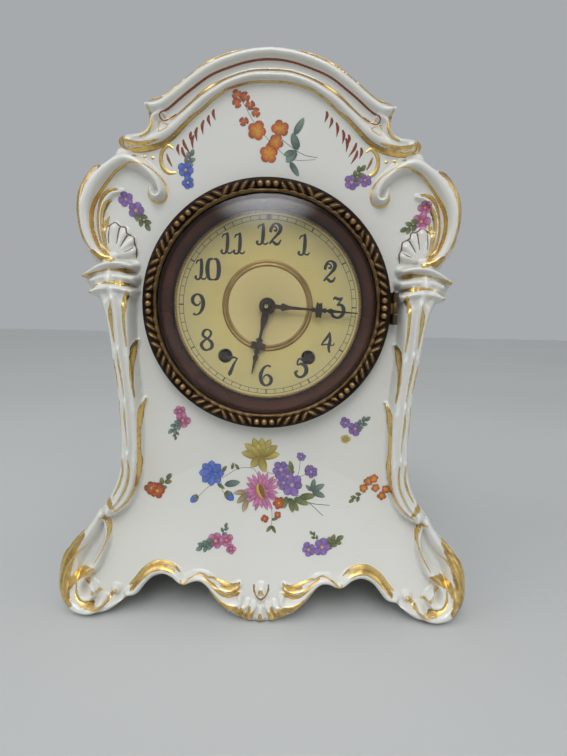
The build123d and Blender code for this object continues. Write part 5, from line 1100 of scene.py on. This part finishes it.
def flowers():
    """Scattered flowers, the way porcelain is commonly painted."""
    parts = Parts()
    crown_spray(parts)
    bouquet(parts)
    sprig(parts, -43.6, 240.6, BLUE, 4.4, 1.2, GREY_GREEN, (1.2, -6.4))
    sprig(parts, 43.2, 236, VIOLET, 4.4, 0.9, GREEN, (7.0, 1.2))
    sprig(parts, -70, 219.6, VIOLET, 5.0, -0.95, GREEN, (-5.2, 5.6))
    sprig(parts, 80.6, 216.8, PINK, 4.8, 3.6, GREEN, (1.6, 7.0))
    sprig(parts, -45.6, 107.2, PINK, 4.4, 3.9, GREY_GREEN, (-1.6, 5.0))
    leaf_spray(parts, -49, 103, 4.6, 6, GREEN, 4)
    sprig(parts, 50, 104.6, VIOLET, 4.2, 0.7, GREY_GREEN, (-5.4, 3.2))
    blossom(parts, 44.8, 98.6, 2.8, YELLOW, 5)
    sprig(parts, -60, 66.6, RED, 5.0, 0.9, GREEN, (-3.4, 1.4), 4)
    for k, (x, z) in enumerate(((56, 70.6), (62.6, 71), (66.4, 66.6), (58.6, 74.6), (61.6, 76.4),
                                (68.6, 70.4))):
        blossom(parts, x, z, 2.7, ORANGE, 5, k)
    leaf_spray(parts, 56, 68, 3.7, 8, GREEN, 4)
    sprig(parts, -26, 41, PINK, 4.8, 3.6, GREY_GREEN, (6.0, 0.6), 6)
    leaf_spray(parts, -23, 43, 1.2, 7, GREY_GREEN, 4)
    blossom(parts, -17.4, 37.2, 3.0, PINK, 5)
    sprig(parts, 33.2, 39, VIOLET, 5.2, 0.45, GREEN, (-7.4, -1.4), 6)
    leaf_spray(parts, 31, 42, 2.3, 6, GREEN, 4)
    parts.build("painted_flowers", "case", "porcelain_case", "porcelain", ENAMEL)


case_front()
case_sides()
case_lining()
line_work()
flowers()


def revolve_grid(profile, turns, wobble=None):
    """A profile of radius and depth turned about the dial's axis.

    Points are x = r cos t, y = depth, z = centre + r sin t. A wobble function of
    turn and profile place may add to the radius and the depth.
    """
    t = np.linspace(0, 2 * math.pi, turns, endpoint=False)[:, None]
    r = profile[None, :, 0] + 0 * t
    y = profile[None, :, 1] + 0 * t
    if wobble is not None:
        out, forward = wobble(t, profile)
        r, y = r + out, y - forward
    return np.stack([r * np.cos(t), y, CENTER_Z + r * np.sin(t)], -1)


BEZEL_FRONT = BEZEL_LOW[1]
BEZEL_BACK = BEZEL_HIGH[1]
BEZEL_BORE = 58.0
BEZEL_TURNS = 1500        # points round the bezel
BAND_POINTS = 36          # points across its moulded band
BEAD_GROUPS = 8
BEADS = 3                 # beads in a group
BEAD_SIZE = 1.95
STRAND = 4.9              # length of one strand of the rope along the circle


def bezel_ornament(t, profile):
    """Relief of the bezel: eight groups of beads with a twisted laurel rope between them.

    The beads are half balls on the middle circle. The rope is a row of slanted
    strands, each split into three leaves, that lean away from each group of beads.
    """
    middle = BEZEL_RADIUS - 3.9
    across = (profile[None, :, 0] - middle) / 3.3
    front = np.clip(1.15 - np.abs(across), 0, 0.35) / 0.35 * (profile[None, :, 1] < BEZEL_FRONT + 5.6)
    group = 2 * math.pi / BEAD_GROUPS
    local = (t - math.pi / 2 + group / 2) % group - group / 2
    along = local * middle
    pitch = 2.05 * BEAD_SIZE
    nearest = np.round(along / pitch)
    is_bead = np.abs(nearest) <= (BEADS - 1) / 2
    gap = np.hypot(along - nearest * pitch, (profile[None, :, 0] - middle)) / BEAD_SIZE
    bead = np.where(is_bead, np.sqrt(np.clip(1 - gap ** 2, 0, 1)) * 1.9, 0)
    rope = np.abs(along) / STRAND + 0.62 * across
    strand = 1 - np.abs(2 * (rope % 1.0) - 1) ** 1.8
    split = 1 - np.abs(2 * ((rope * 3.0) % 1.0) - 1) ** 2
    leaf = (0.25 + strand * (0.75 + 0.35 * split)) * 1.35
    leaf = leaf * np.clip(1.15 - np.abs(across) ** 1.8, 0, 1)
    rib = 0.22 * np.abs(np.sin(across * 9.0 - np.abs(along) * 1.3))
    beads_end = (BEADS / 2) * pitch + 0.3
    fade = np.clip((np.abs(along) - beads_end) / 0.6, 0, 1)
    relief = (bead + (leaf - rib * 0.6) * fade) * front - 0.9 * front
    return relief * 0.15, relief


def bezel_piece():
    """Cast bezel with its relief: dark patina in the hollows, and bright on the ridges, where rubbed
    brass carries a painted highlight.
    """
    points = [(BEZEL_BORE, BEZEL_FRONT + 3.2), (BEZEL_BORE, BEZEL_FRONT + 1.6),
              (BEZEL_BORE + 0.8, BEZEL_FRONT + 0.8),
              (BEZEL_BORE + 1.6, BEZEL_FRONT + 1.2), (BEZEL_BORE + 1.9, BEZEL_FRONT + 2.2)]
    t = np.linspace(0.12, math.pi * 0.93, BAND_POINTS)
    middle = BEZEL_RADIUS - 3.6
    band = np.stack([middle - 3.7 * np.cos(t), BEZEL_FRONT + 4.9 - 4.1 * np.sin(t)], 1)
    tail = [(BEZEL_RADIUS - 0.3, BEZEL_BACK - 0.6), (BEZEL_RADIUS - 1.0, BEZEL_BACK),
            (BEZEL_BORE + 1.4, BEZEL_BACK),
            (BEZEL_BORE + 1.4, BEZEL_FRONT + 3.2)]
    profile = np.vstack([points, band, tail])
    grid = revolve_grid(profile, BEZEL_TURNS, bezel_ornament)
    turn = np.linspace(0, 2 * math.pi, BEZEL_TURNS, endpoint=False)[:, None]
    relief = bezel_ornament(turn, profile)[1]
    band_only = np.zeros(len(profile))
    band_only[len(points):len(points) + BAND_POINTS] = 1
    # Brightness of the band from its relief: dark patina in the hollows, and on the ridges rubbed brass
    # with a painted highlight.
    high = np.clip(0.36 + relief / 1.7, 0, 1) * band_only + 0.62 * (1 - band_only)
    faces = grid_faces(BEZEL_TURNS, len(profile), True, True, flip=True)
    make_object("bezel_cast_ring", grid.reshape(-1, 3), faces, "bezel", "bezel", "bezel_brass",
                BEZEL_BRASS, gilt=high.ravel())
    bezel_barrel()


HINGE_X = BEZEL_RADIUS + 2.2
HINGE_Y = (BEZEL_FRONT + BEZEL_BACK) / 2


def bezel_barrel():
    """Middle barrel of the bezel's hinge and the web that joins it to the ring."""
    turns = 32
    s = np.linspace(0, 2 * math.pi, turns + 1)[:-1]
    half = 2.8
    rows = [(0.8, -half), (1.35, -half), (1.6, -half + 0.25), (1.6, half - 0.25), (1.35, half),
            (0.8, half)]
    barrel = np.array([[(HINGE_X + r * math.cos(a), HINGE_Y + r * math.sin(a), CENTER_Z + h) for a in s]
                       for r, h in rows])
    parts = Parts()
    parts.add(barrel, grid_faces(len(rows), turns, True, True))
    web_start, web_end, web_half = BEZEL_RADIUS - 1.6, HINGE_X - 1.0, 1.2
    web = [(web_start, web_half), (web_end, web_half), (web_end, -web_half), (web_start, -web_half)]
    heights = [-half, -half + 0.2, half - 0.2, half]
    ring = np.array([[(x, HINGE_Y + y * (0.85 if k in (0, 3) else 1), CENTER_Z + h) for x, y in web]
                     for k, h in enumerate(heights)])
    parts.add(ring, grid_faces(len(heights), len(web), close_columns=True))
    ends = np.array([(0, 1, 2, 3), (15, 14, 13, 12)])
    parts.faces.append(ends + parts.count - len(heights) * len(web))
    parts.build("bezel_hinge_barrel", "bezel", "bezel", "bezel_brass", BEZEL_BRASS,
                gilt=np.full(parts.count, 0.6))


def brass(name, bright, dark, rough=0.3, grain=900.0, metal=1.0):
    """Brass or steel with patches of tarnish and a fine grain."""
    finish = Finish(name, roughness=rough, metallic=metal)
    tarnish = finish.ramp(finish.noise(45.0, 4.0, 0.6), 0.38, 0.72)
    finish.feed("Base Color", finish.mix(tarnish, bright, dark))
    finish.feed("Roughness", rough + tarnish * 0.18 + finish.noise(grain) * 0.08)
    finish.bump(finish.noise(grain, 2.0), 0.0002, 0.25)
    return finish.material


def bezel_finish():
    """Antique casting: near black patina in the hollows, bright on the high places as rubbed brass with
    a painted highlight.
    """
    finish = Finish("antique_bezel", metallic=0.9, roughness=0.34)
    high = finish.value("gilt")
    # Rubbed brass and a painted highlight on the ridges, patina in the hollows.
    rubbed_and_highlight = finish.ramp(high + finish.noise(300.0, 3.0) * 0.35 - 0.17, 0.45, 0.95)
    finish.feed("Base Color", finish.mix(rubbed_and_highlight, (0.022, 0.012, 0.007), (0.36, 0.22, 0.09)))
    finish.feed("Roughness", 0.52 - rubbed_and_highlight * 0.24)
    finish.bump(finish.noise(700.0, 3.0), 0.0003, 0.5)
    return finish.material


BEZEL_BRASS = bezel_finish()
SATIN_BRASS = brass("satin_brass", (0.72, 0.52, 0.22), (0.42, 0.27, 0.10))
TRAIN_BRASS = brass("train_brass", (0.74, 0.57, 0.27), (0.50, 0.35, 0.14), 0.26)
STEEL = brass("polished_steel", (0.52, 0.52, 0.53), (0.30, 0.29, 0.28), 0.24)
BLUED = brass("blued_spring", (0.10, 0.13, 0.22), (0.06, 0.07, 0.10), 0.3)
HANDS = brass("blackened_hands", (0.045, 0.036, 0.026), (0.11, 0.075, 0.040), 0.42, 700.0, 0.6)
bezel_piece()


def glass_piece():
    """Domed glass: outer and inner caps of one radius, closed at the rim."""
    edge = (GLASS_HIGH[0] - GLASS_LOW[0]) / 2
    thick = 2.0
    turns = 160
    rim_back = GLASS_HIGH[1]
    rise = rim_back - thick - GLASS_LOW[1]
    radius = (edge ** 2 + rise ** 2) / (2 * rise)
    r = np.linspace(0.05, edge, 40)
    outer = np.stack([r, rim_back - thick - rise + radius - np.sqrt(radius ** 2 - r ** 2)], 1)
    inner = np.stack([r[::-1], rim_back - rise + radius - np.sqrt(radius ** 2 - r[::-1] ** 2)], 1)
    profile = np.vstack([outer, inner])
    grid = revolve_grid(profile, turns)
    finish = Finish("clear_glass", roughness=0.02, transmission_weight=1.0, ior=1.46)
    finish.feed("Roughness", finish.ramp(finish.noise(160.0, 4.0), 0.5, 0.95) * 0.03 + 0.01)
    piece = make_object("domed_glass", grid.reshape(-1, 3), grid_faces(turns, len(profile), True, True),
                        "bezel", "bezel_glass", "glass", finish.material)
    piece.visible_shadow = False


glass_piece()


# Numerals: strokes of x, z and half width in a box one unit high
GLYPHS = {
    "0": [[(0, 0.5, 0.045), (-0.2, 0.42, 0.1), (-0.27, 0, 0.13), (-0.2, -0.42, 0.1), (0, -0.5, 0.045),
           (0.2, -0.42, 0.1), (0.27, 0, 0.13), (0.2, 0.42, 0.1), (0.02, 0.5, 0.045)]],
    "1": [[(-0.22, 0.24, 0.03), (-0.16, 0.38, 0.05), (-0.02, 0.44, 0.04), (0.02, 0.5, 0.04)],
          [(0.02, 0.5, 0.07), (0.04, 0.2, 0.1), (0.03, -0.1, 0.11), (0.0, -0.34, 0.09),
           (-0.08, -0.48, 0.06),
           (-0.2, -0.48, 0.06), (-0.25, -0.38, 0.07), (-0.18, -0.32, 0.04)],
          [(0.0, -0.36, 0.04), (0.08, -0.47, 0.05), (0.2, -0.46, 0.05), (0.26, -0.36, 0.03)]],
    "2": [[(-0.06, 0.2, 0.04), (0.03, 0.16, 0.07), (0.08, 0.26, 0.05), (-0.02, 0.36, 0.05),
           (-0.18, 0.3, 0.07),
           (-0.2, 0.12, 0.08), (-0.08, 0.42, 0.02)],
          [(-0.2, 0.2, 0.06), (-0.12, 0.42, 0.06), (0.06, 0.5, 0.06), (0.24, 0.36, 0.11),
           (0.22, 0.14, 0.11),
           (0.02, -0.12, 0.07), (-0.18, -0.34, 0.05), (-0.24, -0.46, 0.05)],
          [(-0.26, -0.46, 0.05), (-0.12, -0.34, 0.07), (0.04, -0.46, 0.09), (0.18, -0.44, 0.07),
           (0.28, -0.26, 0.04)]],
    "3": [[(-0.22, 0.36, 0.03), (-0.14, 0.46, 0.08), (0.04, 0.4, 0.09), (0.24, 0.48, 0.03)],
          [(0.2, 0.44, 0.05), (0.04, 0.2, 0.05), (-0.04, 0.1, 0.04)],
          [(-0.04, 0.1, 0.05), (0.16, 0.12, 0.09), (0.28, -0.08, 0.12), (0.22, -0.36, 0.11),
           (0, -0.5, 0.07),
           (-0.22, -0.4, 0.09), (-0.24, -0.22, 0.08), (-0.1, -0.16, 0.05)]],
    "4": [[(0.12, 0.5, 0.05), (0.0, 0.26, 0.08), (-0.18, 0.02, 0.06), (-0.28, -0.14, 0.04)],
          [(-0.28, -0.14, 0.04), (-0.02, -0.1, 0.05), (0.28, -0.14, 0.04), (0.32, -0.02, 0.03)],
          [(0.12, 0.48, 0.04), (0.13, 0.1, 0.09), (0.08, -0.2, 0.09), (0.1, -0.44, 0.06),
           (0.16, -0.48, 0.05)]],
    "5": [[(-0.12, 0.42, 0.05), (0.06, 0.38, 0.07), (0.24, 0.5, 0.03)],
          [(-0.12, 0.42, 0.05), (-0.17, 0.26, 0.06), (-0.18, 0.1, 0.04)],
          [(-0.18, 0.08, 0.03), (0.0, 0.16, 0.08), (0.22, 0.02, 0.12), (0.24, -0.26, 0.12),
           (0.06, -0.48, 0.08),
           (-0.16, -0.46, 0.08), (-0.26, -0.28, 0.09), (-0.14, -0.18, 0.05)]],
    "6": [[(0.2, 0.44, 0.08), (0.06, 0.5, 0.05), (-0.14, 0.36, 0.08), (-0.27, 0.0, 0.12),
           (-0.2, -0.36, 0.11),
           (0.0, -0.5, 0.06), (0.2, -0.36, 0.1), (0.22, -0.12, 0.1), (0.04, 0.04, 0.06),
           (-0.12, -0.06, 0.04),
           (-0.1, -0.18, 0.03)]],
    "7": [[(-0.24, 0.46, 0.03), (-0.1, 0.38, 0.07), (0.06, 0.42, 0.07), (0.26, 0.36, 0.04)],
          [(0.26, 0.38, 0.04), (0.1, 0.1, 0.07), (-0.02, -0.2, 0.1), (-0.1, -0.4, 0.12),
           (-0.06, -0.48, 0.08)]],
    "8": [[(0.02, 0.06, 0.06), (-0.18, 0.22, 0.09), (-0.12, 0.44, 0.08), (0.06, 0.5, 0.05),
           (0.2, 0.36, 0.07),
           (0.12, 0.14, 0.07), (-0.1, -0.02, 0.07), (-0.26, -0.24, 0.1), (-0.14, -0.46, 0.09),
           (0.04, -0.5, 0.06),
           (0.24, -0.36, 0.1), (0.22, -0.12, 0.1), (0.02, 0.06, 0.06)]],
    "9": [[(-0.2, -0.44, 0.08), (-0.06, -0.5, 0.05), (0.14, -0.36, 0.08), (0.27, 0.0, 0.12),
           (0.2, 0.36, 0.11),
           (0.0, 0.5, 0.06), (-0.2, 0.36, 0.1), (-0.22, 0.12, 0.1), (-0.04, -0.04, 0.06),
           (0.12, 0.06, 0.04),
           (0.1, 0.18, 0.03)]],
}
INK = (0.030, 0.034, 0.042)
NUMERAL_HEIGHT = 11.4
NUMERAL_CIRCLE = 39.0
NUMERAL_STRETCH = 1.04    # width against the box of the strokes
NUMERAL_WEIGHT = 1.05     # thickness against the box of the strokes
DIGIT_SPACING = 0.60      # between two digits, in heights
TRACK_OUTER = 49.3
TRACK_INNER = 46.9


def numerals(parts):
    """The twelve numbers, upright, on their circle."""
    for hour in range(1, 13):
        angle = math.radians(90 - 30 * hour)
        x = NUMERAL_CIRCLE * math.cos(angle)
        z = CENTER_Z + NUMERAL_CIRCLE * math.sin(angle)
        text = str(hour)
        for k, digit in enumerate(text):
            shift = (k - (len(text) - 1) / 2) * DIGIT_SPACING
            for stroke in GLYPHS[digit]:
                line = [(x + NUMERAL_HEIGHT * (NUMERAL_STRETCH * px + shift), z + NUMERAL_HEIGHT * pz,
                         NUMERAL_HEIGHT * w * NUMERAL_WEIGHT) for px, pz, w in stroke]
                ribbon(parts, line, dial_height, 0.05, INK, 0.02, 0.35)


def minute_track(parts):
    """Two circles with a bar for each minute, heavier every fifth."""
    for radius in (TRACK_OUTER, TRACK_INNER):
        line = [(radius * math.cos(a), CENTER_Z + radius * math.sin(a), 0.3)
                for a in np.radians(np.linspace(0, 360, 181))]
        ribbon(parts, line, dial_height, 0.04, INK, 0.0, 1.2, 3)
    for minute in range(60):
        angle = math.radians(6 * minute)
        half = 0.7 if minute % 5 == 0 else 0.34
        line = [(r * math.cos(angle), CENTER_Z + r * math.sin(angle), half)
                for r in (TRACK_INNER, 48.1, TRACK_OUTER)]
        ribbon(parts, line, dial_height, 0.045, INK, 0.0, 0.8, 3)


def dial_print():
    """Numerals and track as one printed layer."""
    parts = Parts()
    numerals(parts)
    minute_track(parts)
    ink = paint_finish("dial_ink", 0.4, 0.04)
    parts.build("dial_printing", "case", None, "dial_enamel", ink)


def dial_finish():
    """Aged cream with tan stains, paler towards the edge."""
    finish = Finish("cream_dial", roughness=0.34)
    radius = finish.from_center()
    stain = finish.noise(28.0, 4.0, 0.6)
    colour = finish.mix(finish.ramp(radius, 0.044, 0.064), (0.90, 0.74, 0.27), (0.88, 0.78, 0.37))
    colour = finish.mix(finish.ramp(stain, 0.5, 0.8) * 0.4, colour, (0.52, 0.40, 0.20))
    finish.feed("Base Color", colour)
    finish.feed("Roughness", 0.3 + stain * 0.15)
    finish.bump(finish.noise(300.0, 2.0), 0.0002, 0.2)
    return finish.material


def pan_finish():
    """Copper-brown lacquer with a soft shine."""
    finish = Finish("copper_pan", metallic=0.85, roughness=0.3)
    cloud = finish.ramp(finish.noise(30.0, 3.0), 0.3, 0.75)
    rim = finish.ramp(finish.from_center(), 0.0765, 0.077)
    copper = finish.mix(cloud, (0.075, 0.013, 0.006), (0.15, 0.045, 0.026))
    finish.feed("Base Color", finish.mix(rim, copper, (0.10, 0.066, 0.034)))
    finish.feed("Roughness", 0.24 + cloud * 0.14)
    finish.bump(finish.noise(600.0, 2.0), 0.0002, 0.2)
    return finish.material


def milled_ring():
    """Fine beaded rim round the dial: a torus with a hundred and eighty swellings."""
    bead_count, turns = 180, 1080
    s = np.linspace(0, 2 * math.pi, 9)[:-1]
    profile = np.stack([DIAL_RADIUS + 0.2 + 0.8 * np.cos(s), -DIAL_FRONT - 0.35 + 0.7 * np.sin(s)], 1)

    def swelling(t, _):
        beads = 0.22 * np.cos(bead_count * t)
        return beads * np.cos(s)[None], -beads * np.sin(s)[None]

    grid = revolve_grid(profile, turns, swelling)
    faces = grid_faces(turns, len(s), True, True, flip=True)
    make_object("dial_beaded_rim", grid.reshape(-1, 3), faces, "case", None, "bright_brass",
                SATIN_BRASS)


def center_ring():
    """Pressed brass ring of the dial: two rolls with a hollow between them."""
    s = np.linspace(0, 1, 17)
    turns = 180
    low, high = node_mm("dial_center_ring")
    outer = (high[0] - low[0]) / 2
    inner = outer - 3.5
    r = inner + (outer - inner) * s
    y = -DIAL_FRONT - 0.9 * (np.sin(math.pi * s) ** 0.5) + 0.55 * np.exp(-((s - 0.5) / 0.16) ** 2)
    profile = np.vstack([np.stack([r, y], 1), [(outer, -DIAL_FRONT), (inner, -DIAL_FRONT)]])
    grid = revolve_grid(profile, turns)
    faces = grid_faces(turns, len(profile), True, True, flip=True)
    make_object("center_ring_rolled", grid.reshape(-1, 3), faces, "case", "dial_center_ring",
                "bright_brass", SATIN_BRASS)


dial_print()
milled_ring()
center_ring()


def inner_disc_tone():
    """Tan disc inside the centre ring, a thin painted layer on the dial."""
    parts = Parts()
    inner, outer = 4.6, 22.4
    t = np.linspace(0, 2 * math.pi, 97)[:-1]
    r = np.linspace(inner, outer, 12)
    x = r[:, None] * np.cos(t)
    z = CENTER_Z + r[:, None] * np.sin(t)
    y = np.full(x.shape, DIAL_FRONT + 0.03)
    shade = (r[:, None] / outer * np.ones_like(t))[..., None]
    colour = np.array((0.93, 0.76, 0.34)) * (0.82 + 0.18 * shade)
    faces = grid_faces(len(r), len(t), close_columns=True)
    parts.add(np.stack([x, -y, z], -1), faces, colour.reshape(-1, 3))
    tone = paint_finish("inner_disc", 0.36, 0.03)
    parts.build("dial_inner_disc", "case", None, "dial_enamel", tone)


inner_disc_tone()


def dress_nodes():
    """Gives each node of the model its finish, which shows where it keeps its own shape."""
    slots = {entry["node"]: entry["material_slot"] for entry in frame["record"]["subparts"]}
    by_slot = {"bright_brass": SATIN_BRASS, "movement_brass": TRAIN_BRASS, "steel": STEEL,
               "spring_steel": BLUED,
               "blued_steel": HANDS, "dial_enamel": dial_finish(), "pan_copper": pan_finish(),
               "bezel_brass": SATIN_BRASS, "glass": SATIN_BRASS, "porcelain": PORCELAIN}
    for name, slot in slots.items():
        mesh = frame["nodes"][name].data
        mesh.materials.clear()
        mesh.materials.append(HANDS if name.endswith("winding_arbor") else by_slot[slot])


dress_nodes()


def set_stage():
    """Pale floor."""
    reach = 3.0
    mesh = bpy.data.meshes.new("floor")
    corners = [(reach * x, reach * y, 0) for x, y in ((-1, -1), (1, -1), (1, 1), (-1, 1))]
    mesh.from_pydata(corners, [], [(0, 1, 2, 3)])
    floor = bpy.data.objects.new("floor", mesh)
    bpy.context.scene.collection.objects.link(floor)
    finish = Finish("pale_cloth", roughness=0.9)
    # Painted shade of cloth folds: the floor is flat, and its colour is lighter and darker in broad
    # patches.
    fold_shading = finish.noise(2.2, 3.0)
    finish.feed("Base Color", finish.mix(fold_shading, (0.50, 0.51, 0.50), (0.58, 0.59, 0.58)))
    mesh.materials.append(finish.material)


SOFT_PANEL = (-0.05, -0.72, 0.69)     # way to the soft panel above the camera
LIT_AT = (0, 0, 0.15)                 # where the lamps point

# Lamps: name, place, size, power, colour
LAMPS = [("window", (-0.95, -0.5, 0.95), 0.9, 3.2, (0.96, 0.98, 1.0)),
         ("fill", (1.1, -0.55, 0.6), 0.8, 1.7, (1.0, 0.98, 0.95)),
         ("top", (0.0, -0.30, 1.15), 0.8, 2.2, (1.0, 1.0, 1.0))]


def set_light():
    """Soft studio light: large lamps, a pale room and a soft panel that the glass shows."""
    world = bpy.data.worlds.new("pale_room")
    bpy.context.scene.world = world
    world.use_nodes = True
    tree = world.node_tree
    tree.nodes["Background"].inputs[0].default_value = (0.84, 0.87, 0.90, 1)
    where = tree.nodes.new("ShaderNodeTexCoord")
    facing = tree.nodes.new("ShaderNodeVectorMath")
    facing.operation = "DOT_PRODUCT"
    facing.inputs[1].default_value = SOFT_PANEL
    glow = tree.nodes.new("ShaderNodeMapRange")
    glow.interpolation_type = "SMOOTHSTEP"
    for key, value in (("From Min", 0.93), ("From Max", 0.998), ("To Max", 6.4)):
        glow.inputs[key].default_value = value
    tree.links.new(where.outputs["Generated"], facing.inputs[0])
    tree.links.new(facing.outputs["Value"], glow.inputs["Value"])
    seen = Wire(tree, tree.nodes.new("ShaderNodeLightPath").outputs["Is Camera Ray"])
    strength = 0.40 + Wire(tree, glow.outputs[0]) * (1 - seen) + seen * 0.06
    tree.links.new(strength.socket, tree.nodes["Background"].inputs[1])
    for name, place, size, power, colour in LAMPS:
        lamp = bpy.data.lights.new(name, "AREA")
        lamp.size = size
        lamp.energy = power
        lamp.color = colour
        holder = bpy.data.objects.new(name, lamp)
        holder.location = place
        aim = Vector(LIT_AT) - Vector(place)
        holder.rotation_euler = aim.to_track_quat("-Z", "Y").to_euler()
        bpy.context.scene.collection.objects.link(holder)


CAMERA_AT = (0.01192, -0.34276, 0.171)
YAW = math.radians(-0.419)
PITCH = math.radians(-7.476)
ROLL = 0.021


def set_camera():
    """Camera at the photograph's distance, height and tilt."""
    look = Vector((math.sin(YAW) * math.cos(PITCH), math.cos(YAW) * math.cos(PITCH), math.sin(PITCH)))
    right = look.cross(Vector((0, 0, 1))).normalized()
    up = right.cross(look)
    turned_right = right * math.cos(ROLL) + up * math.sin(ROLL)
    turned_up = up * math.cos(ROLL) - right * math.sin(ROLL)
    matrix = Matrix((turned_right, turned_up, -look)).transposed().to_4x4()
    matrix.translation = Vector(CAMERA_AT)
    data = bpy.data.cameras.new("camera")
    data.lens = 26.0
    data.sensor_width = 36.0
    data.clip_start = 0.01
    camera = bpy.data.objects.new("camera", data)
    camera.matrix_world = matrix
    bpy.context.scene.collection.objects.link(camera)
    bpy.context.scene.camera = camera


set_stage()
set_light()
set_camera()
bpy.context.scene.view_settings.view_transform = "Standard"
